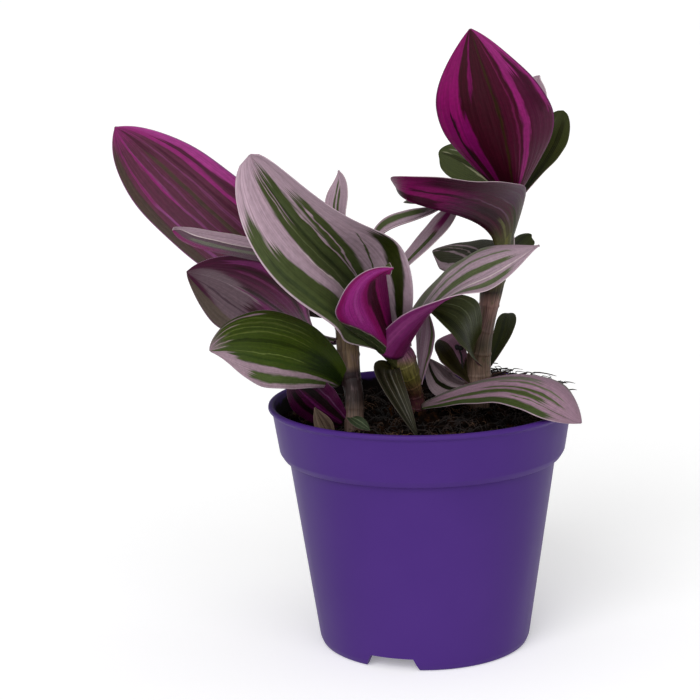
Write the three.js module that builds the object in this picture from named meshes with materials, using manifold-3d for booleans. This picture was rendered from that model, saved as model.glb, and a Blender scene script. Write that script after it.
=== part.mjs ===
// Potted tradescantia: a small nursery pot of peat with four cuttings of a striped, broad-leaved plant.
// Millimetres, +Z up. Lengths below are measured from the pot's axis and from the floor.
import * as THREE from 'three';
import { mergeVertices } from 'three/addons/utils/BufferGeometryUtils.js';
import Module from 'manifold-3d';

const wasm = await Module();
wasm.setup();

// Driving dimensions of the pot
const POT_HEIGHT = 84.4;
const LIP_RADIUS = 52.5;
const BAND_HEIGHT = 18.1;
const FOOT_RADIUS = 35.8;
const FOOT_WIDTH = 2.2;
const FLOOR_UNDERSIDE = 4.4;
const WALL = 1.2;
const BAND = { step: 47.6, corner: 48.9, top: 51.1, crown: 51.4, mouth: 50.6, inside: 47.7, throat: 44.6 };
const WALL_TOP_RADIUS = 45.8;
const POT_SIDES = 48;
const NOTCH = { bottom: 19.6, top: 15, height: 4.2, depth: 8, angles: [12, 132, 252] };
const DRAIN = { radius: 4, ring: 26, middleRadius: 4.5, sides: 14 };

// Driving dimensions of the filling, and the gap round each stem in it
const SOIL_TOP = 77.5;
const SOIL_RINGS = 5;
const GAP = 0.35;

// Leaf blades: thickness, least half width at the tip, the extra width and thickness kept clear round
// a crowding neighbour, and cells across and along
const BLADE = 0.7;
const TIP_HALF_WIDTH = 0.5;
const WIDE_LEAF = 20;
const LEAF_CLEARANCE = 1.6;
const CELLS = { wide: [6, 14], slim: [4, 10] };

const STEM_SIDES = 12;
const STEM_STEPS_PER_POINT = 2;

// Each stem: points of its middle line with its radius there, [x, y, z, radius]
const STEMS = {
  left: [
    [-22.8, -17, 66, 3.3], [-22.6, -16, 79.5, 3.3], [-22.5, -13, 89, 3.2], [-24, -8, 96.6, 3.6],
    [-24.7, -2, 106, 3.9], [-25.1, 2, 113, 3.8], [-25.4, 4, 118.5, 2.6], [-25.8, 6, 125, 2],
  ],
  centre: [
    [1, 9, 66, 2.8], [-0.8, 7, 78, 2.6], [-1.2, 6, 82, 2.5], [-2.4, 4.4, 87, 2.7],
    [-3.8, 2.4, 91, 3.7], [-5.4, 0, 95.5, 4.5], [-6.9, -2.4, 100.5, 4.7], [-7.8, -4.2, 104.2, 2.6],
  ],
  back: [
    [-6, 25, 66, 2.4], [-7, 23, 82, 2.4], [-8.5, 18, 105, 2.6], [-11.5, 14, 124, 2.2],
    [-15, 11, 136, 1.7],
  ],
  right: [
    [20, 18, 66, 3.6], [20, 18, 79, 4.2], [20, 18, 85, 4.6], [20.2, 18, 93, 4.4], [21.5, 17.4, 101, 3.6],
    [23.5, 17, 109, 2.9], [24.9, 17, 118.5, 3.9], [27.5, 16, 128, 3.3], [29.5, 15, 136, 2.2],
    [31, 15, 146, 2], [32.5, 15, 155, 1.8],
  ],
};

// Each leaf: the four control points of its midrib from root to tip; the way its upper side faces at
// the root; the twist from root to tip; the full width, where along the leaf it is widest, the root's
// share of that width and the fullness of the tip; then the fold at the midrib and the curl of the
// left and right half at root and tip. Angles are in degrees. "opening" is how fast a curl relaxes,
// and "clearOf" names the leaves at the same joint that this one's foot is cut back from.
const LEAVES = {
  left_big: {
    midrib: [[-27, 6.5, 117], [-61, 15.5, 128], [-89.5, -4, 170.5], [-99, -12, 180]],
    face: [0.9, 0.5, -0.1], twist: -65, width: 41.5, widest: 0.45, neck: 0.3, taper: 0.9,
    fold: 0, left: [15, 0], right: [10, 5],
  },
  left_slim: {
    midrib: [[-26.5, 3, 121], [-42, -19, 139], [-76, -26, 137.5], [-78.5, -33, 148.5]],
    face: [0, -0.3, 1], twist: -5, width: 15, widest: 0.55, neck: 0.3, taper: 0.45,
    fold: 45, left: [5, 0], right: [10, 5],
  },
  left_low_back: {
    midrib: [[-28, -1, 106], [-46, 3, 107.5], [-56.5, -3, 127], [-77, -14, 132]],
    face: [0, 0.4, 0.9], twist: -30, width: 40, widest: 0.5, neck: 0.3, taper: 0.7,
    fold: -10, left: [-25, 35], right: [15, 5],
    clearOf: ['left_slim'],
  },
  left_front: {
    midrib: [[-26.2, -10.5, 92.6], [-34, -30, 111.6], [-59.5, -34, 116], [-67.5, -37, 109.5]],
    face: [-0.2, -0.8, 0.6], twist: -5, width: 31.5, widest: 0.55, neck: 0.16, taper: 0.8,
    fold: 0, left: [-5, -30], right: [0, -50],
    clearOf: ['left_low_back', 'left_low'],
  },
  left_low: {
    midrib: [[-26.5, -16.5, 80.5], [-32, -17.5, 84], [-38, -18, 89], [-43.5, -18.5, 96]],
    face: [0.2, 0.9, 0.2], twist: 0, width: 17, widest: 0.6, neck: 0.4, taper: 0.7,
    fold: 5, left: [20, 10], right: [20, 10],
  },
  left_dry: {
    midrib: [[-31, -25.5, 79], [-32.5, -26, 82], [-34, -26, 85], [-35, -26, 88]],
    face: [0.2, -0.9, 0.2], twist: 0, width: 6.5, widest: 0.25, neck: 0.8, taper: 1,
    fold: 10, left: [20, 10], right: [20, 10],
  },
  left_foot: {
    midrib: [[-23.5, -19.6, 82.5], [-22.5, -22, 82.5], [-19.5, -24, 81], [-17, -25, 79.6]],
    face: [0.3, -0.7, 0.6], twist: 0, width: 5, widest: 0.5, neck: 0.6, taper: 0.8,
    fold: 10, left: [20, 10], right: [20, 10],
  },
  left_joint: {
    midrib: [[-26.8, -5, 94.5], [-28, -4.5, 97], [-30, -4.5, 100], [-31.5, -4.5, 103.5]],
    face: [0.2, 0.9, 0.2], twist: 0, width: 8, widest: 0.5, neck: 0.5, taper: 0.8,
    fold: 10, left: [20, 10], right: [20, 10],
  },
  centre_big: {
    midrib: [[-6.5, -3, 103.5], [-18.5, -5, 130.5], [-34, -38.5, 139], [-52.5, -39, 172.5]],
    face: [-0.4, -0.7, 0.6], twist: -10, width: 47, widest: 0.5, neck: 0.3, taper: 0.45,
    fold: 40, left: [30, -30], right: [15, 35],
  },
  centre_small: {
    midrib: [[-7.6, -4.8, 96.4], [-17, -26, 124], [-21.5, -47, 132.5], [-8, -49.5, 137.5]],
    face: [-0.5, 0.8, 0.2], twist: -20, width: 24, widest: 0.55, neck: 0.15, taper: 1,
    fold: 10, left: [45, -15], right: [85, 0],
    clearOf: ['centre_big', 'centre_right'],
  },
  centre_right: {
    midrib: [[-5.6, -5.8, 101], [7, -22, 129], [17, -17.5, 131], [39, -23.5, 140]],
    face: [-0.7, -0.1, 0.7], twist: -40, width: 29, widest: 0.6, neck: 0.95, taper: 1.2,
    fold: 5, left: [35, -55], right: [140, 5],
    clearOf: ['centre_big'],
  },
  centre_droop: {
    midrib: [[-9.6, -3, 94.5], [-15, -15, 101], [-8.5, -28, 93], [-1.5, -30, 78.5]],
    face: [0.1, -0.8, 0.6], twist: 5, width: 10, widest: 0.35, neck: 0.5, taper: 0.75,
    fold: 15, left: [20, 25], right: [25, 30],
    clearOf: ['centre_small', 'centre_big'],
  },
  centre_mauve: {
    midrib: [[-0.5, 5.5, 88], [-0.5, 8.5, 96.5], [0.5, 8.5, 105], [2, 6, 115.5]],
    face: [0.6, 0.4, 0.7], twist: -5, width: 10, widest: 0.6, neck: 0.35, taper: 0.85,
    fold: 15, left: [0, 10], right: [15, 10],
  },
  back_up: {
    midrib: [[-15.5, 11.5, 131], [-35, 6.5, 143], [-23, 7, 153], [-27, 12, 162]],
    face: [-0.5, -0.8, 0.4], twist: -10, width: 10, widest: 0.6, neck: 0.4, taper: 0.9,
    fold: 25, left: [20, 10], right: [30, 10],
  },
  back_right: {
    midrib: [[-13, 10.5, 134], [-17.5, 6.5, 144.5], [-0.5, 8, 143.5], [8.5, 10, 149.5]],
    face: [-0.1, -0.5, 0.9], twist: -5, width: 8.5, widest: 0.5, neck: 0.4, taper: 0.75,
    fold: 30, left: [10, 10], right: [15, 10],
  },
  back_far_right: {
    midrib: [[-9.5, 14, 124], [0, 14, 133.5], [10, 18, 141], [13.5, 22, 149]],
    face: [-0.4, -0.7, 0.6], twist: -10, width: 9, widest: 0.65, neck: 0.4, taper: 0.75,
    fold: 30, left: [10, 10], right: [15, 5],
  },
  right_top: {
    midrib: [[32, 13.5, 153], [29, -1.5, 173], [22, -20, 189.5], [17.5, -19.5, 209.5]],
    face: [0, 0.9, 0.3], twist: 25, width: 38.5, widest: 0.5, neck: 0.2, taper: 0.8,
    fold: -5, left: [40, 5], right: [35, 10],
  },
  right_funnel: {
    midrib: [[26.5, 12.5, 132.5], [26.5, 13, 149.5], [-4.5, -29.5, 151], [-7, -6.5, 157.5]],
    face: [0.2, 0.2, 1], twist: -25, width: 39.5, widest: 0.25, neck: 0.4, taper: 0.5,
    fold: 45, left: [125, -50], right: [125, -50], opening: 3.8,
  },
  right_back_left: {
    midrib: [[30.5, 16.5, 153.5], [22, 33, 160], [11.5, 39, 164.5], [7.5, 39, 164.5]],
    face: [-0.3, -0.6, 0.7], twist: 0, width: 16, widest: 0.45, neck: 0.25, taper: 0.55,
    fold: 5, left: [15, -10], right: [20, -10],
    clearOf: ['right_funnel'],
  },
  right_back_right: {
    midrib: [[34.3, 16.5, 150.5], [42.5, 30, 161.5], [47, 35.5, 168], [51.5, 38, 179]],
    face: [-0.5, -0.7, 0.6], twist: -15, width: 15.5, widest: 0.5, neck: 0.3, taper: 0.5,
    fold: 10, left: [20, 10], right: [40, 0],
    clearOf: ['right_funnel'],
  },
  right_back: {
    midrib: [[34, 16.5, 153], [41.5, 29, 173.5], [40.5, 37, 187.5], [43, 35, 191.5]],
    face: [-0.4, -0.9, 0.2], twist: 10, width: 14, widest: 0.5, neck: 0.3, taper: 0.9,
    fold: 15, left: [10, 10], right: [10, 15],
    clearOf: ['right_back_left'],
  },
  right_mid_left: {
    midrib: [[26, 18.5, 127], [22, 25.5, 133.5], [11.5, 37, 129], [5, 35.5, 129.5]],
    face: [-0.1, -0.5, 0.9], twist: -5, width: 22, widest: 0.45, neck: 0.35, taper: 0.45,
    fold: 0, left: [10, -20], right: [20, -25],
  },
  right_mid_right: {
    midrib: [[29, 18, 131], [36, 28.5, 132], [38.5, 35.5, 135.5], [40, 35, 135]],
    face: [0.1, -0.6, 0.8], twist: 0, width: 7.5, widest: 0.5, neck: 0.5, taper: 0.5,
    fold: 0, left: [10, -20], right: [10, -20],
  },
  right_clasp: {
    midrib: [[18.3, 14, 97], [15, 3, 106], [18, -3, 114.5], [2, -1, 116.5]],
    face: [0.5, -0.6, 0.5], twist: 5, width: 20.5, widest: 0.5, neck: 0.62, taper: 0.8,
    fold: 5, left: [50, 10], right: [60, 10],
  },
  right_low_right: {
    midrib: [[22.5, 20.5, 89], [31.5, 28, 100.5], [31, 35.5, 105], [32, 42, 106]],
    face: [-0.3, -0.4, 0.9], twist: -10, width: 8, widest: 0.55, neck: 0.4, taper: 0.45,
    fold: 15, left: [20, 15], right: [35, 5],
  },
  right_low_left: {
    midrib: [[17.5, 16, 87], [11, 12.5, 96.5], [10, 11, 102.5], [6, 13.5, 102]],
    face: [0, -0.5, 0.9], twist: -10, width: 17, widest: 0.55, neck: 0.3, taper: 0.55,
    fold: 5, left: [15, -5], right: [15, -10],
  },
  low_pale: {
    midrib: [[17, 18.5, 84], [7, 17, 83], [5.5, 15, 88], [2.5, 13, 96]],
    face: [0.2, -0.9, 0.4], twist: 0, width: 11.5, widest: 0.5, neck: 0.35, taper: 0.75,
    fold: 10, left: [20, 10], right: [20, 10],
  },
  front_right: {
    midrib: [[0.2, 4.2, 81.5], [19.5, -5, 93], [42, -34, 105.5], [52, -28.5, 82]],
    face: [-0.3, -0.4, 0.9], twist: 15, width: 28, widest: 0.75, neck: 0.15, taper: 0.8,
    fold: -10, left: [-35, -45], right: [-20, 10],
  },
};

// Surface colours: what the eye sees first on each leaf, upper side or magenta underside
const COLOUR = {
  pot: '#51337a',
  soil: '#2e2018',
  stem: '#8a7a52',
  upper: '#6f7a5c',
  under: '#82307a',
};
const SHOWS_UNDERSIDE = [
  'left_big', 'left_low_back', 'left_low', 'left_joint',
  'centre_small', 'centre_mauve', 'right_top', 'right_funnel',
];

const radians = THREE.MathUtils.degToRad;

// A closed geometry as a solid, its shared corners merged
function solid(geometry) {
  const bare = geometry.clone();
  bare.deleteAttribute('normal');
  bare.deleteAttribute('uv');
  const merged = mergeVertices(bare);
  return new wasm.Manifold(new wasm.Mesh({
    numProp: 3,
    vertProperties: merged.attributes.position.array,
    triVerts: new Uint32Array(merged.index.array),
  }));
}

function geometryOf(body) {
  const mesh = body.getMesh();
  const geometry = new THREE.BufferGeometry();
  geometry.setAttribute('position', new THREE.BufferAttribute(mesh.vertProperties, 3));
  geometry.setIndex(new THREE.BufferAttribute(mesh.triVerts, 1));
  geometry.computeVertexNormals();
  return geometry;
}

function largestPiece(body) {
  const pieces = body.decompose();
  pieces.sort((a, b) => b.volume() - a.volume());
  return pieces[0];
}

function named(name, geometry, colour, roughness) {
  const material = new THREE.MeshStandardMaterial({ color: colour, roughness, metalness: 0 });
  const mesh = new THREE.Mesh(geometry, material);
  mesh.name = name;
  return mesh;
}

// A profile of [radius, height] turned about the vertical axis
function turned(profile, sides) {
  const points = profile.map(([radius, height]) => new THREE.Vector2(radius, height));
  return new THREE.LatheGeometry(points, sides).rotateX(Math.PI / 2);
}

function uprightDisc(radius, height, sides) {
  return new THREE.CylinderGeometry(radius, radius, height, sides).rotateX(Math.PI / 2);
}

// The pot: foot ring, tapering wall, stepped rim band and a small rounded lip
function potBody() {
  const bandBottom = POT_HEIGHT - BAND_HEIGHT;
  const footInside = FOOT_RADIUS - FOOT_WIDTH;
  const floorTop = FLOOR_UNDERSIDE + WALL;
  const profile = [
    [0, FLOOR_UNDERSIDE], [footInside - 0.6, FLOOR_UNDERSIDE], [footInside, 0], [FOOT_RADIUS, 0],
    [FOOT_RADIUS + 0.8, 2], [WALL_TOP_RADIUS, bandBottom - 0.5], [BAND.step, bandBottom - 0.4],
    [BAND.corner, bandBottom + 1.7], [BAND.top, POT_HEIGHT - 2.4], [LIP_RADIUS, POT_HEIGHT - 1.4],
    [LIP_RADIUS - 0.2, POT_HEIGHT - 0.3], [BAND.crown, POT_HEIGHT], [BAND.mouth, POT_HEIGHT - 0.4],
    [BAND.top - WALL, POT_HEIGHT - 2.4], [BAND.inside, bandBottom + 2.7], [BAND.throat, bandBottom + 0.7],
    [FOOT_RADIUS - 0.4, floorTop + 0.4], [FOOT_RADIUS - 1.8, floorTop], [0, floorTop],
  ];
  let body = solid(turned(profile, POT_SIDES));
  for (const angle of NOTCH.angles) {
    body = body.subtract(solid(footNotch(radians(angle))));
    body = body.subtract(solid(drain(DRAIN.radius, DRAIN.ring, radians(angle))));
  }
  return body.subtract(solid(drain(DRAIN.middleRadius, 0, 0)));
}

// A low trapezoid opening through the foot ring
function footNotch(angle) {
  const outline = new THREE.Shape();
  outline.moveTo(-NOTCH.bottom / 2, -1);
  outline.lineTo(NOTCH.bottom / 2, -1);
  outline.lineTo(NOTCH.top / 2, NOTCH.height);
  outline.lineTo(-NOTCH.top / 2, NOTCH.height);
  const block = new THREE.ExtrudeGeometry(outline, { depth: NOTCH.depth, bevelEnabled: false });
  block.rotateX(Math.PI / 2);
  block.translate(0, FOOT_RADIUS + NOTCH.depth / 2, 0);
  return block.rotateZ(angle - Math.PI / 2);
}

function drain(radius, ring, angle) {
  const hole = uprightDisc(radius, 4 * WALL, DRAIN.sides);
  return hole.translate(ring * Math.cos(angle), ring * Math.sin(angle), FLOOR_UNDERSIDE + WALL / 2);
}

// The peat's surface: lumps all over, a heap against the rim at the back right, a dip at the front
function soilHeight(x, y) {
  const slow = 1.1 * Math.sin(0.31 * x + 1.3) * Math.cos(0.27 * y - 0.4);
  const quick = 0.6 * Math.sin(0.53 * x - 0.47 * y);
  const heap = 5.5 * Math.exp(-((x - 33) ** 2 + (y - 27) ** 2) / 90);
  return SOIL_TOP + slow + quick + heap;
}

function soilBody(holes) {
  const bandBottom = POT_HEIGHT - BAND_HEIGHT;
  const bottom = FLOOR_UNDERSIDE + WALL + 0.4;
  const topRadius = 48.4;
  const outside = [
    [FOOT_RADIUS - FOOT_WIDTH, bottom], [FOOT_RADIUS - 0.8, bottom + 0.6],
    [BAND.throat - 0.5, bandBottom + 0.9], [BAND.inside - 0.5, bandBottom + 3.1], [topRadius, SOIL_TOP - 2.5],
  ];
  const top = [];
  for (let ring = SOIL_RINGS; ring >= 0; ring -= 1) {
    top.push([(topRadius * ring) / SOIL_RINGS, SOIL_TOP]);
  }
  const geometry = turned([[0, bottom], ...outside, ...top], POT_SIDES);
  const position = geometry.attributes.position;
  for (let i = 0; i < position.count; i += 1) {
    if (position.getZ(i) > SOIL_TOP - 1) {
      position.setZ(i, soilHeight(position.getX(i), position.getY(i)));
    }
  }
  let body = solid(geometry);
  for (const hole of holes) {
    body = body.subtract(hole);
  }
  return body;
}

// A straight cylinder bent along the stem's curve, its radius swelling at each node.
// Grown, it is thicker all round and longer at both ends.
function stemGeometry(points, grow) {
  const curve = new THREE.CatmullRomCurve3(points.map(([x, y, z]) => new THREE.Vector3(x, y, z)));
  const steps = STEM_STEPS_PER_POINT * (points.length - 1);
  const geometry = new THREE.CylinderGeometry(1, 1, 1, STEM_SIDES, steps);
  const position = geometry.attributes.position;
  const side = new THREE.Vector3();
  const forward = new THREE.Vector3();
  for (let i = 0; i < position.count; i += 1) {
    const t = 0.5 - position.getY(i);
    const centre = curve.getPoint(t);
    const tangent = curve.getTangent(t);
    side.set(1, 0, 0).addScaledVector(tangent, -tangent.x).normalize();
    forward.crossVectors(tangent, side);
    const radius = radiusAt(points, t) + grow;
    if (t === 0 || t === 1) {
      centre.addScaledVector(tangent, grow * (2 * t - 1));
    }
    centre.addScaledVector(side, radius * position.getX(i));
    centre.addScaledVector(forward, radius * position.getZ(i));
    position.setXYZ(i, centre.x, centre.y, centre.z);
  }
  return geometry;
}

function radiusAt(points, t) {
  const place = t * (points.length - 1);
  const before = Math.min(Math.floor(place), points.length - 2);
  return THREE.MathUtils.lerp(points[before][3], points[before + 1][3], place - before);
}

// Half the leaf's width at t: from the neck up to the widest place, then down to the tip
function halfWidth(leaf, t) {
  const rise = Math.sin((Math.PI / 2) * Math.min(t / leaf.widest, 1));
  const fall = Math.cos((Math.PI / 2) * Math.max((t - leaf.widest) / (1 - leaf.widest), 0));
  const share = t < leaf.widest ? leaf.neck + (1 - leaf.neck) * rise : fall ** leaf.taper;
  return Math.max((leaf.width / 2) * share, TIP_HALF_WIDTH);
}

// A point of the blade: t runs from root to tip, v from the right margin (-1) to the left (1).
// Each half rises from the midrib at the fold angle and rolls on as an arc by the curl angle.
function bladePoint(leaf, midrib, t, v) {
  const tangent = midrib.getTangent(t);
  const facing = new THREE.Vector3(...leaf.face);
  const normal = facing.addScaledVector(tangent, -facing.dot(tangent)).normalize();
  normal.applyAxisAngle(tangent, -radians(leaf.twist) * t);
  const across = new THREE.Vector3().crossVectors(normal, tangent);
  const [rootCurl, tipCurl] = v >= 0 ? leaf.left : leaf.right;
  const relaxed = (1 - t) ** (leaf.opening ?? 2);
  const curl = radians(tipCurl + (rootCurl - tipCurl) * relaxed) || 1e-4;
  const fold = radians(leaf.fold);
  const reach = Math.abs(v);
  const sideways = (Math.sin(fold + curl * reach) - Math.sin(fold)) / curl;
  const upwards = (Math.cos(fold) - Math.cos(fold + curl * reach)) / curl;
  const width = halfWidth(leaf, t);
  const point = midrib.getPoint(t);
  point.addScaledVector(across, Math.sign(v) * width * sideways);
  return point.addScaledVector(normal, width * upwards);
}

// The blade's middle surface as a bent plane, then an upper and a lower face half a blade away
function leafGeometry(leaf, thickness) {
  const [acrossCells, alongCells] = leaf.width > WIDE_LEAF ? CELLS.wide : CELLS.slim;
  const midrib = new THREE.CubicBezierCurve3(...leaf.midrib.map((p) => new THREE.Vector3(...p)));
  const sheet = new THREE.PlaneGeometry(2, 1, acrossCells, alongCells);
  const middle = sheet.attributes.position;
  for (let i = 0; i < middle.count; i += 1) {
    const point = bladePoint(leaf, midrib, 0.5 - middle.getY(i), middle.getX(i));
    middle.setXYZ(i, point.x, point.y, point.z);
  }
  sheet.computeVertexNormals();
  return thickened(sheet, thickness, acrossCells + 1, alongCells + 1);
}

function thickened(sheet, thickness, columns, rows) {
  const middle = sheet.attributes.position;
  const normal = sheet.attributes.normal;
  const faces = Array.from(sheet.index.array);
  const count = middle.count;
  const corners = new Float32Array(6 * count);
  for (let i = 0; i < count; i += 1) {
    for (let axis = 0; axis < 3; axis += 1) {
      const offset = (thickness / 2) * normal.getComponent(i, axis);
      corners[3 * i + axis] = middle.getComponent(i, axis) + offset;
      corners[3 * (count + i) + axis] = middle.getComponent(i, axis) - offset;
    }
  }
  const triangles = [...faces];
  for (let i = 0; i < faces.length; i += 3) {
    triangles.push(count + faces[i], count + faces[i + 2], count + faces[i + 1]);
  }
  const rim = rimOf(columns, rows);
  rim.forEach((here, i) => {
    const next = rim[(i + 1) % rim.length];
    triangles.push(count + here, count + next, next, count + here, next, here);
  });
  const geometry = new THREE.BufferGeometry();
  geometry.setAttribute('position', new THREE.BufferAttribute(corners, 3));
  geometry.setIndex(triangles);
  return geometry;
}

// The grid's outer corners in order, anticlockwise seen from the upper side
function rimOf(columns, rows) {
  const rim = [];
  for (let c = 0; c < columns - 1; c += 1) rim.push((rows - 1) * columns + c);
  for (let r = rows - 1; r > 0; r -= 1) rim.push(r * columns + columns - 1);
  for (let c = columns - 1; c > 0; c -= 1) rim.push(c);
  for (let r = 0; r < rows - 1; r += 1) rim.push(r * columns);
  return rim;
}

// A neighbour's blade made thicker, joined with the same blade made wider and longer at its root too
function leafClearance(name) {
  const leaf = LEAVES[name];
  const [root, second, ...others] = leaf.midrib.map((p) => new THREE.Vector3(...p));
  const back = root.clone().sub(second).setLength(LEAF_CLEARANCE).add(root);
  const midrib = [back, second, ...others].map((p) => p.toArray());
  const wider = { ...leaf, midrib, width: leaf.width + LEAF_CLEARANCE };
  const thickness = BLADE + LEAF_CLEARANCE;
  return solid(leafGeometry(leaf, thickness)).add(solid(leafGeometry(wider, thickness)));
}

// A blade, its foot cut clear of the stems that it springs from and of the leaves crowding it there
function leafBody(leaf, stemClearances) {
  const leafClearances = (leaf.clearOf ?? []).map(leafClearance);
  let body = solid(leafGeometry(leaf, BLADE));
  for (const clearance of [...stemClearances, ...leafClearances]) {
    body = body.subtract(clearance);
  }
  return largestPiece(body);
}

const plant = new THREE.Group();
const stemClearances = Object.values(STEMS).map((points) => solid(stemGeometry(points, GAP)));

plant.add(named('pot', geometryOf(potBody()), COLOUR.pot, 0.42));
plant.add(named('soil', geometryOf(soilBody(stemClearances)), COLOUR.soil, 0.95));
for (const [name, points] of Object.entries(STEMS)) {
  plant.add(named(`stem_${name}`, geometryOf(solid(stemGeometry(points, 0))), COLOUR.stem, 0.6));
}
for (const [name, leaf] of Object.entries(LEAVES)) {
  const colour = SHOWS_UNDERSIDE.includes(name) ? COLOUR.under : COLOUR.upper;
  plant.add(named(`leaf_${name}`, geometryOf(leafBody(leaf, stemClearances)), colour, 0.4));
}

// The origin is under the middle of the whole plant's box
const middle = new THREE.Box3().setFromObject(plant).getCenter(new THREE.Vector3());
plant.position.set(-middle.x, -middle.y, 0);

export default plant;
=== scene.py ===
"""Potted tradescantia: four young cuttings with broad striped leaves in a small purple nursery pot of peat.

Metres, +Z up. Places are given from the pot's axis at floor level; PLACE moves them into the frame.
"""

import bpy
import mathutils
import numpy as np
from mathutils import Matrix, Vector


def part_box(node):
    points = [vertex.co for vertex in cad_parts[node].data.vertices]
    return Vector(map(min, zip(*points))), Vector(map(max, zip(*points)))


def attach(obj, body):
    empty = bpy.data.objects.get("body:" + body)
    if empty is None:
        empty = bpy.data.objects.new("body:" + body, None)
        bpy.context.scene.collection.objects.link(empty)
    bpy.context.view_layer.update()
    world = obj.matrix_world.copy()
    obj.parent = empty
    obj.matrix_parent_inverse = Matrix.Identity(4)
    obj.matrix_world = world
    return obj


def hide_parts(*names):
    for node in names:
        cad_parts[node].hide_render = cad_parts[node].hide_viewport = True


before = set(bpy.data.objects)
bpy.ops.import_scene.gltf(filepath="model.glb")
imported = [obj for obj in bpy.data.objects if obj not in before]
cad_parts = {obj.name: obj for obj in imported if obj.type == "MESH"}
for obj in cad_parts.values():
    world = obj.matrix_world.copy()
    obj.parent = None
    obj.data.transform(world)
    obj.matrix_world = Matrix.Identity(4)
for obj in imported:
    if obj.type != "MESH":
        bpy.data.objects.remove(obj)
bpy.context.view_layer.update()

pot_low, pot_high = (np.array(corner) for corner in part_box("pot"))
PLACE = np.array([(pot_low[0] + pot_high[0]) / 2, (pot_low[1] + pot_high[1]) / 2, 0.0])


# Camera: the photograph was taken from a little above the leaves, looking slightly down, with the
# camera turned by about one degree.

CAMERA_DISTANCE = 0.617
CAMERA_HEIGHT = 0.224
AIM = np.array([-0.024, 0.0, 0.1019])
CAMERA_ROLL = np.radians(1.33)

camera_data = bpy.data.cameras.new("camera")
camera_data.lens = 94.9
camera_data.sensor_width = 36.0
camera_data.clip_start = 0.01
camera = bpy.data.objects.new("camera", camera_data)
bpy.context.scene.collection.objects.link(camera)
camera_place = mathutils.Vector(PLACE + np.array([0.0, -CAMERA_DISTANCE, CAMERA_HEIGHT]))
camera_aim = mathutils.Vector(PLACE + AIM)
turn = (camera_aim - camera_place).to_track_quat("-Z", "Y")
camera.matrix_world = (
    mathutils.Matrix.Translation(camera_place)
    @ turn.to_matrix().to_4x4()
    @ mathutils.Matrix.Rotation(-CAMERA_ROLL, 4, "Z")
)
bpy.context.scene.camera = camera


# Pot: thin moulded purple plastic with a stepped rim band, a small rounded lip, a foot ring with three
# low notches, and drain holes. Inside the band, just above the peat, the wall is painted nearly black as
# painted shade.

POT_HEIGHT = pot_high[2]
LIP_RADIUS = (pot_high[0] - pot_low[0]) / 2
BAND_BOTTOM = POT_HEIGHT - 0.0181
WALL_TOP = BAND_BOTTOM - 0.0005
WALL_TOP_RADIUS = 0.0458
FOOT_RADIUS = 0.0358
FOOT_TOP = 0.002
WALL_LOW_RADIUS = FOOT_RADIUS + 0.0008
FLOOR_LOW = 0.0044
FLOOR_TOP = 0.0056
NOTCH_ANGLES = np.radians([12.0, 132.0, 252.0])
NOTCH_BOTTOM = 0.0196
NOTCH_TOP = 0.015
NOTCH_HEIGHT = 0.0042
DRAIN_RING = 0.026
DRAIN_RADIUS = 0.004
MIDDLE_DRAIN_RADIUS = 0.0045
DRAIN_SIDES = 32
POT_SIDES = 240
INSIDE_RADIUS = 0.0499
# Painted shade on the inner wall of the band above the peat: where it begins, where it is full, and its
# uneven top edge.
SHADE_BAND_BOTTOM = 0.0762
SHADE_BAND_FULL = 0.0796
SHADE_BAND_TOP = 0.0818


def linear(hex_colour):
    """The sRGB colour #rrggbb as linear red, green, blue and alpha 1."""
    value = np.array([int(hex_colour[i:i + 2], 16) for i in (1, 3, 5)]) / 255.0
    low = value / 12.92
    high = ((value + 0.055) / 1.055) ** 2.4
    return (*np.where(value <= 0.04045, low, high).tolist(), 1.0)


def make_piece(name, points, quads, materials, face_material=None, uv=None):
    """A mesh object from points (n, 3) from the pot's axis and quads (m, 4); uv is per point (n, 2)."""
    mesh = bpy.data.meshes.new(name)
    mesh.from_pydata((points + PLACE).tolist(), [], quads.tolist())
    for material in materials:
        mesh.materials.append(material)
    mesh.polygons.foreach_set("use_smooth", np.ones(len(mesh.polygons), dtype=bool))
    if face_material is not None:
        mesh.polygons.foreach_set("material_index", face_material.astype(np.int32))
    if uv is not None:
        corner = np.empty(len(mesh.loops), dtype=np.int32)
        mesh.loops.foreach_get("vertex_index", corner)
        layer = mesh.uv_layers.new(name="UVMap")
        layer.data.foreach_set("uv", uv[corner].astype(np.float32).ravel())
    mesh.update()
    piece = bpy.data.objects.new(name, mesh)
    bpy.context.scene.collection.objects.link(piece)
    return piece


def tube_quads(rings, sides):
    """Quads that join rings of points in order; two poles, listed after the rings, close the ends.

    Each end is covered by quads from its pole to every other pair of its ring's edges.
    """
    ring, side = np.meshgrid(np.arange(rings - 1), np.arange(sides), indexing="ij")
    after = (side + 1) % sides
    wall = np.stack([
        ring * sides + side, ring * sides + after, (ring + 1) * sides + after, (ring + 1) * sides + side,
    ], axis=-1).reshape(-1, 4)
    spoke = np.arange(0, sides, 2)
    next_spokes = [(spoke + step) % sides for step in range(3)]
    first_pole = np.full(len(spoke), rings * sides)
    last_ring = (rings - 1) * sides
    start = np.stack([first_pole, *next_spokes[::-1]], axis=-1)
    end = np.stack([first_pole + 1, *(last_ring + spokes for spokes in next_spokes)], axis=-1)
    return np.vstack([wall, start, end])


def turning(profile, sides):
    """Points and quads of a (radius, height) outline turned about the axis: point = (r cos a, r sin a, z).

    The outline starts and ends on the axis, at the two poles.
    """
    radius, height = np.array(profile)[1:-1].T
    angle = np.linspace(0.0, 2.0 * np.pi, sides, endpoint=False)
    x = radius[:, None] * np.cos(angle)
    y = radius[:, None] * np.sin(angle)
    z = np.repeat(height[:, None], sides, axis=1)
    poles = [(0.0, 0.0, profile[0][1]), (0.0, 0.0, profile[-1][1])]
    points = np.vstack([np.stack([x, y, z], axis=-1).reshape(-1, 3), poles])
    return points, tube_quads(len(radius), sides)


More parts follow.
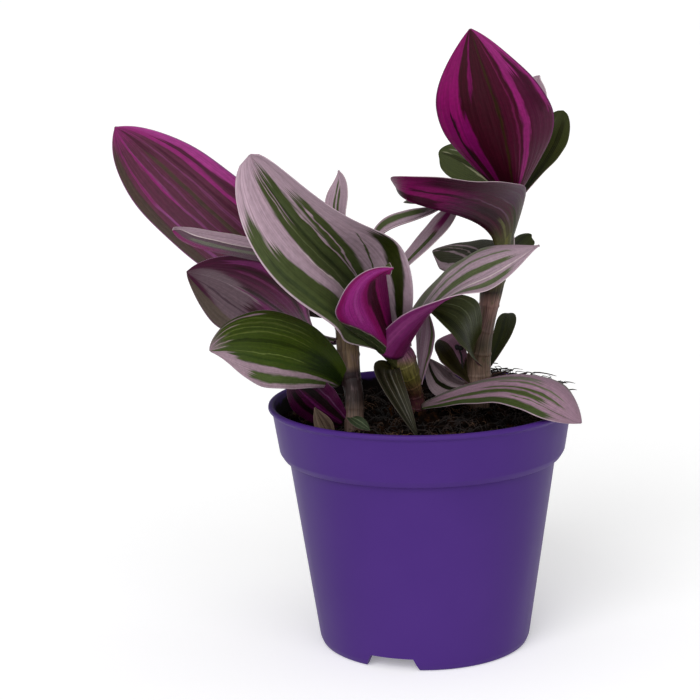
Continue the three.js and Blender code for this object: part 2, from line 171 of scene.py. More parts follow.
def rounded(corners, radius=0.0004, steps=4):
    """The outline with each inner corner replaced by a quadratic curve that starts radius before it."""
    corners = np.array(corners)
    outline = [corners[0]]
    for before, corner, after in zip(corners[:-2], corners[1:-1], corners[2:]):
        to_before = before - corner
        to_after = after - corner
        start = corner + to_before * min(0.45, radius / np.linalg.norm(to_before))
        end = corner + to_after * min(0.45, radius / np.linalg.norm(to_after))
        for t in np.linspace(0.0, 1.0, steps):
            outline.append((1 - t) ** 2 * start + 2 * t * (1 - t) * corner + t ** 2 * end)
    outline.append(corners[-1])
    return np.array(outline)


def new_material(name):
    """A material with its node tree, its shader and its coordinate sockets."""
    material = bpy.data.materials.new(name)
    material.use_nodes = True
    tree = material.node_tree
    coordinates = tree.nodes.new("ShaderNodeTexCoord").outputs
    return material, tree, tree.nodes["Principled BSDF"], coordinates


def set_inputs(tree, node, inputs):
    """The node, each named input set to a value or a hex colour, or linked from a socket."""
    for name, value in inputs.items():
        if isinstance(value, bpy.types.NodeSocket):
            tree.links.new(value, node.inputs[name])
        else:
            node.inputs[name].default_value = linear(value) if isinstance(value, str) else value
    return node


def add_node(tree, kind, inputs, **settings):
    """A shader node of that kind with its settings and inputs."""
    node = tree.nodes.new("ShaderNode" + kind)
    for name, value in settings.items():
        setattr(node, name, value)
    return set_inputs(tree, node, inputs)


def noise(tree, vector, scale, detail=3.0, stretch=(1.0, 1.0, 1.0)):
    """A noise value about 0.5 at the given frequency; stretch multiplies each direction's frequency."""
    place = add_node(tree, "Mapping", {"Vector": vector, "Scale": stretch}).outputs["Vector"]
    return add_node(tree, "TexNoise", {"Vector": place, "Scale": scale, "Detail": detail}).outputs["Fac"]


def ramp(tree, value, *stops):
    """A colour for the value, mixed between (position, hex colour) stops."""
    node = add_node(tree, "ValToRGB", {"Fac": value})
    elements = node.color_ramp.elements
    while len(elements) < len(stops):
        elements.new(0.5)
    for element, (position, colour) in zip(elements, stops):
        element.position = position
        element.color = linear(colour)
    return node.outputs["Color"]


def spread(tree, value, low, high):
    """The value's middle range 0.3 to 0.7 mapped to low to high."""
    inputs = {"Value": value, "From Min": 0.3, "From Max": 0.7, "To Min": low, "To Max": high}
    return add_node(tree, "MapRange", inputs).outputs["Result"]


def soft_step(tree, value, start, end):
    """0 before start and 1 after end (or the other way round), with an S curve between."""
    inputs = {"Value": value, "From Min": start, "From Max": end}
    return add_node(tree, "MapRange", inputs, interpolation_type="SMOOTHSTEP").outputs["Result"]


def bump(tree, height, distance):
    """The normal of a surface raised by the height value over that distance in metres."""
    return add_node(tree, "Bump", {"Strength": 1.0, "Distance": distance, "Height": height}).outputs["Normal"]


def maths(tree, operation, *values):
    """The result of a Math node; each value is a number or a socket."""
    return add_node(tree, "Math", dict(enumerate(values)), operation=operation).outputs["Value"]


def times(tree, first, *others):
    """The product of numbers or sockets."""
    for other in others:
        first = maths(tree, "MULTIPLY", first, other)
    return first


def mixed(tree, amount, under, over):
    """The colour under, covered by the colour over by the amount; each is a socket or a hex colour."""
    under_input, over_input, colour_output = 6, 7, 2
    inputs = {"Factor": amount, under_input: under, over_input: over}
    return add_node(tree, "Mix", inputs, data_type="RGBA").outputs[colour_output]


def plastic_material():
    """Satin purple plastic, faintly clouded, with painted shade in an uneven dark edge inside the band."""
    material, tree, shader, coordinates = new_material("pot_plastic")
    place = coordinates["Object"]
    clouds = noise(tree, place, 22.0, 4.0)
    flow = noise(tree, place, 60.0, 3.0, (1.0, 1.0, 0.12))
    grain = noise(tree, place, 2600.0, 2.0)
    shade_edge = noise(tree, place, 150.0, 5.0)
    from_axis = add_node(tree, "VectorMath", {0: place, 1: PLACE}, operation="SUBTRACT").outputs["Vector"]
    x, y, z = add_node(tree, "SeparateXYZ", {"Vector": from_axis}).outputs
    distance = maths(tree, "SQRT", maths(tree, "ADD", times(tree, x, x), times(tree, y, y)))
    inside = soft_step(tree, distance, INSIDE_RADIUS + 0.0003, INSIDE_RADIUS)
    above_step = soft_step(tree, z, SHADE_BAND_BOTTOM, SHADE_BAND_BOTTOM + 0.0004)
    # Painted shade: the inner wall from just above the peat up to an uneven edge is painted nearly black.
    uneven_height = maths(tree, "SUBTRACT", z, spread(tree, shade_edge, -0.0012, 0.0030))
    painted_shade = times(tree, soft_step(tree, uneven_height, SHADE_BAND_TOP, SHADE_BAND_FULL), inside, above_step)
    purple = ramp(tree, clouds, (0.3, "#3d206a"), (0.7, "#42246f"))
    set_inputs(tree, shader, {
        "Base Color": mixed(tree, painted_shade, purple, "#0e0806"),
        "Roughness": spread(tree, flow, 0.42, 0.52),
        "Specular IOR Level": 0.12,
        "Normal": bump(tree, grain, 0.000012),
    })
    return material


def wall_point(height):
    """The (radius, height) of the wall's outside, straight from the foot ring to the step."""
    share = (height - FOOT_TOP) / (WALL_TOP - FOOT_TOP)
    return (WALL_LOW_RADIUS + (WALL_TOP_RADIUS - WALL_LOW_RADIUS) * share, height)


def cutter(near, far):
    """A closed bar between two matching rings of points, used only to cut the pot."""
    sides = len(near)
    faces = [tuple(range(sides - 1, -1, -1)), tuple(range(sides, 2 * sides))]
    faces += [(i, (i + 1) % sides, sides + (i + 1) % sides, sides + i) for i in range(sides)]
    mesh = bpy.data.meshes.new("cutter")
    mesh.from_pydata((np.vstack([near, far]) + PLACE).tolist(), [], faces)
    bar = bpy.data.objects.new("cutter", mesh)
    bpy.context.scene.collection.objects.link(bar)
    return bar


def notch_cutter(angle):
    """A trapezoid bar through the foot ring: wide at the floor, narrower at the top."""
    outward = np.array([np.cos(angle), np.sin(angle), 0.0])
    along = np.array([-np.sin(angle), np.cos(angle), 0.0])
    up = np.array([0.0, 0.0, 1.0])
    section = [(-NOTCH_BOTTOM / 2, -0.001), (NOTCH_BOTTOM / 2, -0.001),
               (NOTCH_TOP / 2, NOTCH_HEIGHT), (-NOTCH_TOP / 2, NOTCH_HEIGHT)]
    near = np.array([outward * (FOOT_RADIUS - 0.004) + along * s + up * h for s, h in section])
    return cutter(near, near + outward * 0.008)


def drain_cutter(radius, ring, angle):
    """An upright round bar through the pot's floor, at that angle on a ring round the middle."""
    around = np.linspace(0.0, 2.0 * np.pi, DRAIN_SIDES, endpoint=False)
    circle = np.stack([radius * np.cos(around), radius * np.sin(around)], axis=-1)
    circle += ring * np.array([np.cos(angle), np.sin(angle)])
    low, high = (np.column_stack([circle, np.full(DRAIN_SIDES, height)]) for height in (0.002, 0.008))
    return cutter(low, high)


pot_outline = rounded([
    (0.0, FLOOR_LOW), (FOOT_RADIUS - 0.0028, FLOOR_LOW), (FOOT_RADIUS - 0.0022, 0.0), (FOOT_RADIUS, 0.0),
    (WALL_LOW_RADIUS, FOOT_TOP), *[wall_point(height) for height in (0.0046, 0.0052, 0.008, 0.02, 0.04)],
    (WALL_TOP_RADIUS, WALL_TOP), (0.0476, BAND_BOTTOM - 0.0004),
    (0.0489, BAND_BOTTOM + 0.0017), (0.0511, POT_HEIGHT - 0.0024), (LIP_RADIUS, POT_HEIGHT - 0.0014),
    (LIP_RADIUS - 0.0002, POT_HEIGHT - 0.0003), (0.0514, POT_HEIGHT), (0.0506, POT_HEIGHT - 0.0004),
    (INSIDE_RADIUS, POT_HEIGHT - 0.0024), (0.0477, BAND_BOTTOM + 0.0027), (0.0446, BAND_BOTTOM + 0.0007),
    (FOOT_RADIUS - 0.0004, FLOOR_TOP + 0.0004), (0.034, FLOOR_TOP), (0.0, FLOOR_TOP),
])
pot_points, pot_quads = turning(pot_outline, POT_SIDES)
pot = make_piece("pot_shell", pot_points, pot_quads, [plastic_material()])

cutters = [notch_cutter(angle) for angle in NOTCH_ANGLES]
cutters += [drain_cutter(DRAIN_RADIUS, DRAIN_RING, angle) for angle in NOTCH_ANGLES]
cutters += [drain_cutter(MIDDLE_DRAIN_RADIUS, 0.0, 0.0)]
for bar in cutters:
    cut = pot.modifiers.new("cut", "BOOLEAN")
    cut.object = bar
    cut.solver = "EXACT"
pot_cut = bpy.data.meshes.new_from_object(pot.evaluated_get(bpy.context.evaluated_depsgraph_get()))
pot.modifiers.clear()
pot.data = pot_cut
pot.data.name = "pot_shell"
pot.data.set_sharp_from_angle(angle=np.radians(40.0))
for bar in cutters:
    bpy.data.objects.remove(bar)
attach(pot, "root")
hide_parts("pot")


# Peat: dark, fibrous and crumbly, mounded a little at the back right, with brown fibres lying in it,
# loose crumbs, and roots that hang over the rim.

SOIL_TOP = 0.0775
SOIL_RADIUS = 0.0484
SOIL_BOTTOM = 0.006
SOIL_RINGS = 120
SOIL_SIDES = 300
LYING_FIBRES = 1500
RIM_ROOTS = 150
CRUMBS = 900
SEED = 7
random = np.random.default_rng(SEED)


def soil_height(x, y):
    """The peat's surface: slow lumps, a heap against the back right rim, and crumbs on top of them."""
    u = 1000.0 * x
    v = 1000.0 * y
    lumps = 1.1 * np.sin(0.31 * u + 1.3) * np.cos(0.27 * v - 0.4) + 0.6 * np.sin(0.53 * u - 0.47 * v)
    heap = 5.5 * np.exp(-((u - 33.0) ** 2 + (v - 27.0) ** 2) / 90.0)
    crumbs = 0.35 * np.sin(1.7 * u + 0.9 * v) * np.sin(1.3 * v - 0.7 * u + 2.0)
    crumbs += 0.25 * np.sin(3.1 * u - 1.9 * v + 1.0) * np.sin(2.9 * v + 1.1 * u)
    return SOIL_TOP + 0.001 * (lumps + heap + crumbs)


def soil_mesh():
    """Points and quads of the peat: a turning that fills the pot, its flat top lifted to soil_height."""
    profile = [(0.0, SOIL_BOTTOM), (0.0336, SOIL_BOTTOM), (0.035, SOIL_BOTTOM + 0.0006),
               (0.0441, BAND_BOTTOM + 0.0009), (0.0472, BAND_BOTTOM + 0.0031),
               (SOIL_RADIUS, SOIL_TOP - 0.0025)]
    profile += [(radius, SOIL_TOP) for radius in np.linspace(SOIL_RADIUS, 0.0, SOIL_RINGS)]
    points, quads = turning(profile, SOIL_SIDES)
    on_top = points[:, 2] > SOIL_TOP - 0.001
    x, y, _ = points[on_top].T
    points[on_top, 2] = soil_height(x, y) - 0.0012 * (np.hypot(x, y) / SOIL_RADIUS) ** 30
    return points, quads


def peat_material():
    """Nearly black clods, a few of them brown."""
    material, tree, shader, coordinates = new_material("peat")
    clods = noise(tree, coordinates["Object"], 260.0, 8.0)
    fibres = noise(tree, coordinates["Object"], 700.0, 4.0, (1.0, 0.2, 1.0))
    stops = [(0.3, "#030101"), (0.5, "#0b0502"), (0.62, "#1c0e06"), (0.75, "#432911")]
    set_inputs(tree, shader, {
        "Base Color": ramp(tree, clods, *stops),
        "Roughness": 0.95,
        "Specular IOR Level": 0.05,
        "Normal": bump(tree, fibres, 0.0006),
    })
    return material


def fibre_material():
    """Dull fibres from black to light brown."""
    material, tree, shader, coordinates = new_material("fibre")
    tint = noise(tree, coordinates["Object"], 120.0, 2.0)
    browns = ramp(tree, tint, (0.35, "#0a0503"), (0.55, "#211209"), (0.7, "#583a20"))
    set_inputs(tree, shader, {"Base Color": browns, "Roughness": 0.85})
    return material


def unit(vector):
    """The vector over its length."""
    return vector / (np.linalg.norm(vector, axis=-1, keepdims=True) + 1e-12)


def strands(paths, radii):
    """Points and quads of many thin square rods: paths (n, steps, 3), radii (n,).

    Point = path + radius x (0.25 + 0.75 sqrt(sin pi s)) x ring, so each rod is thinner at both ends.
    """
    sides = 4
    count, steps, _ = paths.shape
    tangent = unit(np.gradient(paths, axis=1))
    across = unit(np.cross(tangent, np.array([0.0, 0.3, 1.0])))
    upward = np.cross(tangent, across)
    angle = np.linspace(0.0, 2.0 * np.pi, sides, endpoint=False)
    taper = 0.25 + 0.75 * np.sin(np.pi * np.linspace(0.0, 1.0, steps)) ** 0.5
    size = radii[:, None] * taper
    ring = across[:, :, None] * np.cos(angle)[:, None] + upward[:, :, None] * np.sin(angle)[:, None]
    points = (paths[:, :, None] + size[:, :, None, None] * ring).reshape(-1, 3)
    strand, step, side = np.meshgrid(np.arange(count), np.arange(steps - 1), np.arange(sides), indexing="ij")
    first = (strand * steps + step) * sides
    after = (side + 1) % sides
    quads = np.stack([first + side, first + after, first + sides + after, first + sides + side], axis=-1)
    start = np.arange(count)[:, None] * steps * sides + np.arange(sides)[::-1]
    end = np.arange(count)[:, None] * steps * sides + (steps - 1) * sides + np.arange(sides)
    return points, np.vstack([quads.reshape(-1, 4), start, end])


def lying_paths(count, steps=7):
    """Paths of short bent fibres that lie on the peat anywhere in the pot, each arched up a little."""
    radius = (SOIL_RADIUS - 0.002) * np.sqrt(random.uniform(0.02, 1.0, count))
    angle = random.uniform(0.0, 2.0 * np.pi, count)
    heading = random.uniform(0.0, 2.0 * np.pi, count)
    length = random.uniform(0.0015, 0.008, count)
    bend = random.normal(0.0, 0.9, count)
    s = np.linspace(-0.5, 0.5, steps)
    direction = heading[:, None] + bend[:, None] * s
    x = (radius * np.cos(angle))[:, None] + length[:, None] * s * np.cos(direction)
    y = (radius * np.sin(angle))[:, None] + length[:, None] * s * np.sin(direction)
    within = np.minimum(1.0, (SOIL_RADIUS - 0.0012) / np.maximum(np.hypot(x, y), 1e-6))
    x *= within
    y *= within
    arch = random.uniform(0.0, 0.0016, count)[:, None] * (1.0 - (2.0 * s) ** 2)
    return np.stack([x, y, soil_height(x, y) + 0.0001 + arch], axis=-1)


def rim_root_paths(count, steps=12):
    """Paths of roots that run out over the rim: a cluster behind, one at the right, three at the left."""
    at_back = random.uniform(0.0, 1.0, count) < 0.6
    angle = np.where(at_back, random.normal(45.0, 8.0, count), random.normal(16.0, 7.0, count))
    angle[:3] = 163.0, 165.0, 168.0
    angle = np.radians(angle)[:, None]
    s = np.linspace(0.0, 1.0, steps)
    start_radius = random.uniform(0.030, 0.042, count)
    reach = random.uniform(0.006, 0.015, count)
    rise = random.uniform(0.0008, 0.0036, count)
    sway = random.normal(0.0, 0.13, count)
    path_radius = start_radius[:, None] + reach[:, None] * s
    path_angle = angle + sway[:, None] * s + 0.04 * np.sin(9.0 * s + 40.0 * angle)
    x = path_radius * np.cos(path_angle)
    y = path_radius * np.sin(path_angle)
    base_height = np.maximum(soil_height(x[:, :1], y[:, :1]), POT_HEIGHT - 0.002)
    return np.stack([x, y, base_height + rise[:, None] * np.sin(0.8 * np.pi * s) + 0.002 * s], axis=-1)


def crumb_mesh(count):
    """Points and quads of lumpy balls on the peat: point = centre + size x shape x lumpiness x ball."""
    radius = (SOIL_RADIUS - 0.003) * np.sqrt(random.uniform(0.0, 1.0, count))
    angle = random.uniform(0.0, 2.0 * np.pi, count)
    size = random.uniform(0.0004, 0.0016, count) * random.uniform(0.4, 1.0, count)
    x = radius * np.cos(angle)
    y = radius * np.sin(angle)
    centre = np.stack([x, y, soil_height(x, y) + 0.3 * size], axis=-1)
    ball, ball_quads = turning([(0.0, -1.0), (0.8, -0.6), (1.0, 0.1), (0.7, 0.7), (0.0, 1.0)], 8)
    lumpiness = random.uniform(0.6, 1.2, (count, len(ball), 1))
    shape = random.uniform(0.6, 1.3, (count, 1, 3))
    points = centre[:, None] + size[:, None, None] * shape * lumpiness * ball
    quads = np.arange(count)[:, None, None] * len(ball) + ball_quads
    return points.reshape(-1, 3), quads.reshape(-1, 4)


peat = peat_material()
soil = make_piece("soil_surface", *soil_mesh(), [peat])
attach(soil, "root")
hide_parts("soil")

fibre = fibre_material()
fibre_mesh = strands(lying_paths(LYING_FIBRES), random.uniform(0.00006, 0.00022, LYING_FIBRES))
soil_fibres = make_piece("soil_fibres", *fibre_mesh, [fibre])
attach(soil_fibres, "root")

root_mesh = strands(rim_root_paths(RIM_ROOTS), random.uniform(0.00012, 0.0003, RIM_ROOTS))
rim_roots = make_piece("rim_roots", *root_mesh, [fibre])
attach(rim_roots, "root")

soil_crumbs = make_piece("soil_crumbs", *crumb_mesh(CRUMBS), [peat])
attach(soil_crumbs, "root")


# Dark scrap: a small black dried bit on a thin stalk that stands in front of the young pale leaf beside
# the right stem.

SCRAP_STALK = np.array([[[0.0148, 0.0140, 0.0880], [0.0145, 0.0143, 0.0925], [0.0142, 0.0147, 0.0965],
                         [0.0134, 0.0146, 0.0990], [0.0128, 0.0145, 0.0992]]])
SCRAP_STALK_RADIUS = np.array([0.0004])
SCRAP_LOBES = np.array([[0.0127, 0.0143, 0.0994], [0.0140, 0.0143, 0.0991]])
SCRAP_LOBE_SIZES = np.array([[0.0011, 0.0005, 0.0010], [0.0010, 0.0005, 0.0009]])


def scrap_mesh():
    """Points and quads of the stalk and of one flattened ball for each lobe: point = lobe + size x ball."""
    stalk, stalk_quads = strands(SCRAP_STALK, SCRAP_STALK_RADIUS)
    ball, ball_quads = turning([(0.0, -1.0), (0.7, -0.75), (1.0, 0.0), (0.7, 0.75), (0.0, 1.0)], 12)
    lobes = (SCRAP_LOBES[:, None] + SCRAP_LOBE_SIZES[:, None] * ball).reshape(-1, 3)
    first = len(stalk) + len(ball) * np.arange(len(SCRAP_LOBES))[:, None, None]
    return np.vstack([stalk, lobes]), np.vstack([stalk_quads, (first + ball_quads).reshape(-1, 4)])


def scrap_material():
    """Dull sooty black."""
    material, tree, shader, coordinates = new_material("dark_scrap")
    soot = noise(tree, coordinates["Object"], 900.0, 3.0)
    blacks = ramp(tree, soot, (0.3, "#060405"), (0.7, "#140d10"))
    set_inputs(tree, shader, {"Base Color": blacks, "Roughness": 0.7})
    return material


scrap = make_piece("dark_scrap", *scrap_mesh(), [scrap_material()])
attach(scrap, "root")


# Stems: four jointed cuttings, swollen at each joint and wrapped in striated leaf sheaths that change
# from olive and beige to reddish purple at the joints.

STEM_SIDES = 40
STEM_STEPS = 26
JOINT_RIDGE = 0.00025


def smooth_rows(rows, place):
    """The rows at fractional places, on a curve that passes through each of them.

    At share f between rows p1 and p2, with neighbours p0 and p3, the row is half of
    2 p1 + (p2 - p0) f + (2 p0 - 5 p1 + 4 p2 - p3) f^2 + (3 p1 - p0 - 3 p2 + p3) f^3.
    """
    before = np.minimum(place.astype(int), len(rows) - 2)
    f = (place - before)[:, None]
    padded = np.vstack([2 * rows[0] - rows[1], rows, 2 * rows[-1] - rows[-2]])
    p0, p1, p2, p3 = (padded[before + k] for k in range(4))
    return 0.5 * (2 * p1 + (p2 - p0) * f + (2 * p0 - 5 * p1 + 4 * p2 - p3) * f ** 2
                  + (3 * p1 - p0 - 3 * p2 + p3) * f ** 3)


def stem_mesh(rows):
    """Points, quads and (cos, sin, place) per point of a stem: point = centre line + radius x ring.

    The radius has a ridge half way between two rows, and eleven faint ribs round the stem.
    """
    place = np.linspace(0.0, len(rows) - 1.0, STEM_STEPS * (len(rows) - 1) + 1)
    row = smooth_rows(np.array(rows), place)
    line = row[:, :3]
    tangent = unit(np.gradient(line, axis=0))
    side = unit(np.array([1.0, 0.0, 0.0]) - tangent * tangent[:, :1])
    forward = np.cross(tangent, side)
    angle = np.linspace(0.0, 2.0 * np.pi, STEM_SIDES, endpoint=False)
    ridge = JOINT_RIDGE * np.exp(-((place % 1.0 - 0.5) / 0.05) ** 2)
    ribs = 1.0 + 0.012 * np.sin(11.0 * angle)
    radius = (row[:, 3] + ridge)[:, None] * ribs
    ring = side[:, None] * np.cos(angle)[:, None] + forward[:, None] * np.sin(angle)[:, None]
    points = (line[:, None] + radius[..., None] * ring).reshape(-1, 3)
    around = np.broadcast_arrays(np.cos(angle), np.sin(angle), place[:, None])
    around = np.stack(around, axis=-1).reshape(-1, 3)
    return (np.vstack([points, line[:1], line[-1:]]), tube_quads(len(place), STEM_SIDES),
            np.vstack([around, around[:1], around[-1:]]))


def shaded(tree, colour, shade):
    """The colour times the shade value."""
    return add_node(tree, "VectorMath", {0: colour, "Scale": shade}, operation="SCALE").outputs["Vector"]


def stem_material(name, colours, patch):
    """Sheath colours at (height, hex) stops, with patches of a second tone and lines along the stem."""
    material, tree, shader, coordinates = new_material(name)
    low, high = colours[0][0], colours[-1][0]
    _, _, z = add_node(tree, "SeparateXYZ", {"Vector": coordinates["Object"]}).outputs
    level = add_node(tree, "MapRange", {"Value": z, "From Min": low, "From Max": high}).outputs["Result"]
    base = ramp(tree, level, *(((height - low) / (high - low), colour) for height, colour in colours))
    around = add_node(tree, "Attribute", {}, attribute_name="around").outputs["Vector"]
    lines = noise(tree, around, 9.0, 2.0, (1.0, 1.0, 0.12))
    broad_lines = noise(tree, around, 3.0, 2.0, (1.0, 1.0, 0.3))
    patches = noise(tree, around, 2.2, 3.0, (1.0, 1.0, 0.9))
    base = mixed(tree, soft_step(tree, patches, 0.52, 0.8), base, patch)
    shade = times(tree, spread(tree, lines, 0.5, 1.5), spread(tree, broad_lines, 0.75, 1.25))
    set_inputs(tree, shader, {
        "Base Color": shaded(tree, base, shade),
        "Roughness": 0.5,
        "Specular IOR Level": 0.22,
        "Normal": bump(tree, lines, 0.0003),
    })
    return material


def stem(name, rows, colours, patch):
    """A stem that stands for the CAD stem of that name, along rows of (x, y, z, radius)."""
    points, quads, around = stem_mesh(rows)
    piece = make_piece(name + "_piece", points, quads, [stem_material(name, colours, patch)])
    attribute = piece.data.attributes.new("around", "FLOAT_VECTOR", "POINT")
    attribute.data.foreach_set("vector", around.ravel())
    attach(piece, "root")
    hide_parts(name)


stem("stem_left", [
    (-0.0228, -0.017, 0.066, 0.0033), (-0.0226, -0.016, 0.0795, 0.0033), (-0.0225, -0.013, 0.089, 0.0032),
    (-0.024, -0.008, 0.0966, 0.0036), (-0.0247, -0.002, 0.106, 0.0039), (-0.0251, 0.002, 0.113, 0.0038),
    (-0.0254, 0.004, 0.1185, 0.0026), (-0.0258, 0.006, 0.125, 0.002),
], [
    (0.066, "#54423a"), (0.083, "#57463c"), (0.088, "#21130f"), (0.0965, "#1c0e12"), (0.0985, "#5a4838"),
    (0.112, "#63553c"), (0.125, "#4b5030"),
], "#5c4a4c")
stem("stem_centre", [
    (0.001, 0.009, 0.066, 0.0028), (-0.0008, 0.007, 0.078, 0.0026), (-0.0012, 0.006, 0.082, 0.0025),
    (-0.0024, 0.0044, 0.087, 0.0027), (-0.0038, 0.0024, 0.091, 0.0037), (-0.0054, 0.0, 0.0955, 0.0045),
    (-0.0069, -0.0024, 0.1005, 0.0047), (-0.0078, -0.0042, 0.1042, 0.0026),
], [
    (0.066, "#2c1518"), (0.083, "#4a252c"), (0.0855, "#3a2016"), (0.0875, "#5e4430"), (0.092, "#5f5a28"),
    (0.097, "#6a6238"), (0.1, "#6f4a58"), (0.104, "#702a5c"),
], "#565026")
stem("stem_back", [
    (-0.006, 0.025, 0.066, 0.0024), (-0.007, 0.023, 0.082, 0.0024), (-0.0085, 0.018, 0.105, 0.0026),
    (-0.0115, 0.014, 0.124, 0.0022), (-0.015, 0.011, 0.136, 0.0017),
], [(0.066, "#3f3428"), (0.1, "#4b442c"), (0.136, "#4c5030")], "#5a4838")
stem("stem_right", [
    (0.02, 0.018, 0.066, 0.0036), (0.02, 0.018, 0.079, 0.0042), (0.02, 0.018, 0.085, 0.0046),
    (0.0202, 0.018, 0.093, 0.0044), (0.0215, 0.0174, 0.101, 0.0036), (0.0235, 0.017, 0.109, 0.0029),
    (0.0249, 0.017, 0.1185, 0.0039), (0.0275, 0.016, 0.128, 0.0033), (0.0295, 0.015, 0.136, 0.0022),
    (0.031, 0.015, 0.146, 0.002), (0.0325, 0.015, 0.155, 0.0018),
], [
    (0.066, "#2a2019"), (0.081, "#5a483f"), (0.087, "#7f685c"), (0.093, "#6a5446"), (0.1, "#453a2c"),
    (0.107, "#5c4540"), (0.115, "#7a5c54"), (0.1185, "#261a13"), (0.122, "#43401e"), (0.136, "#4c4a24"),
    (0.155, "#50502e"),
], "#3d3f1e")


# Leaves of the left stem: broad striped blades, green with lavender-pink stripes above and magenta with
# dark purple bands below. Each is a bent sheet on a curved midrib, and its bands run from root to tip.

BLADE = 0.0006
THINNEST = 0.25
NARROWEST = 0.0003
RIPPLE = 0.00025
BROAD_LEAF = 0.02
WIDE_BAND = 0.25
WAVER = 0.12
RAGGED = 0.22
VEINS = 62.0
GREEN = "#3f4925"
# Painted shade: the dark green that shades the big centre leaf near its root.
SHADED_BASE_GREEN = "#252b09"
GREY_GREEN = "#5f6052"
PINK = "#a18a96"
PALE = "#b8a8aa"
DUSTY_PINK = "#8a737e"
MAGENTA = "#6e1852"
HOT_MAGENTA = "#821f64"
PLUM = "#421129"


def blade_surface(shape, t, v):
    """The blade's middle surface at each root-to-tip t and right-to-left v.

    Point = midrib + side x width x (sin(fold + curl |v|) - sin fold) / curl
          + normal x (width x (cos fold - cos(fold + curl |v|)) / curl + ripple),
    where the frame turns by twist x t about the midrib, curl eases from its root to its tip value, and
    the ripple is a small wave towards the margins.
    """
    p = np.array(shape["midrib"])
    t = t[:, None]
    midrib = (1 - t) ** 3 * p[0] + 3 * t * (1 - t) ** 2 * p[1] + 3 * t ** 2 * (1 - t) * p[2] + t ** 3 * p[3]
    slope = (1 - t) ** 2 * (p[1] - p[0]) + 2 * t * (1 - t) * (p[2] - p[1]) + t ** 2 * (p[3] - p[2])
    tangent = unit(slope)
    face = np.array(shape["face"])
    normal = unit(face - tangent * (tangent @ face)[:, None])
    across = np.cross(normal, tangent)
    turned_by = np.radians(shape["twist"]) * t
    normal, across = (normal * np.cos(turned_by) + across * np.sin(turned_by),
                      across * np.cos(turned_by) - normal * np.sin(turned_by))
    rise = np.sin(np.pi / 2 * np.minimum(t / shape["widest"], 1.0))
    fall = np.cos(np.pi / 2 * np.maximum((t - shape["widest"]) / (1 - shape["widest"]), 0.0))
    share = np.where(t < shape["widest"], shape["neck"] + (1 - shape["neck"]) * rise, fall ** shape["taper"])
    width = np.maximum(shape["width"] / 2 * share, NARROWEST)
    relaxed = (1 - t) ** shape.get("opening", 2.0)
    left = shape["left"][1] + (shape["left"][0] - shape["left"][1]) * relaxed
    right = shape["right"][1] + (shape["right"][0] - shape["right"][1]) * relaxed
    curl = np.radians(np.where(v >= 0, left, right))
    curl = np.where(np.abs(curl) < 1e-4, 1e-4, curl)
    fold = np.radians(shape["fold"])
    sideways = (np.sin(fold + curl * np.abs(v)) - np.sin(fold)) / curl
    upwards = (np.cos(fold) - np.cos(fold + curl * np.abs(v))) / curl
    ripple = RIPPLE * v ** 2 * np.sin(23.0 * t + 4.0 * np.sign(v)) * np.sin(np.pi * t)
    ripple = ripple * min(1.0, shape["width"] / 0.03)
    return (midrib[:, None] + across[:, None] * (np.sign(v) * width * sideways)[..., None]
            + normal[:, None] * (width * upwards + ripple)[..., None])


def leaf_mesh(shape):
    """Points, quads, side of each face and uv of a closed blade: upper and lower = middle +- normal x thick.

    The blade is BLADE thick in the middle and thins to a quarter of that at its margin.
    """
    along, half = (90, 20) if shape["width"] > BROAD_LEAF else (56, 12)
    t = np.linspace(0.0, 1.0, along + 1) ** 0.95
    v = np.sin(np.pi / 2 * np.linspace(-1.0, 1.0, 2 * half + 1))
    middle = blade_surface(shape, t, v[None, :])
    normal = unit(np.cross(np.gradient(middle, axis=0), np.gradient(middle, axis=1)))
    thick = BLADE / 2 * (THINNEST + (1.0 - THINNEST) * (1.0 - np.abs(v) ** 6) ** 0.5)[None, :, None]
    upper = middle + normal * thick
    lower = middle - normal * thick
    rows, columns = middle.shape[:2]
    count = rows * columns
    row, column = np.meshgrid(np.arange(rows - 1), np.arange(columns - 1), indexing="ij")
    a = (row * columns + column).ravel()
    top = np.stack([a, a + columns, a + columns + 1, a + 1], axis=-1)
    under = top[:, ::-1] + count
    rim = np.concatenate([
        np.arange(columns), np.arange(1, rows) * columns + columns - 1,
        (rows - 1) * columns + np.arange(columns - 2, -1, -1), np.arange(rows - 2, 0, -1) * columns,
    ])
    after = np.roll(rim, -1)
    band = np.stack([rim, after, after + count, rim + count], axis=-1)
    points = np.vstack([upper.reshape(-1, 3), lower.reshape(-1, 3)])
    side = np.concatenate([np.zeros(len(top)), np.ones(len(under)), np.zeros(len(band))])
    grid = np.stack(np.broadcast_arrays((v[None, :] + 1) / 2, t[:, None]), axis=-1).reshape(-1, 2)
    return points, np.vstack([top, under, band]), side, np.vstack([grid, grid])


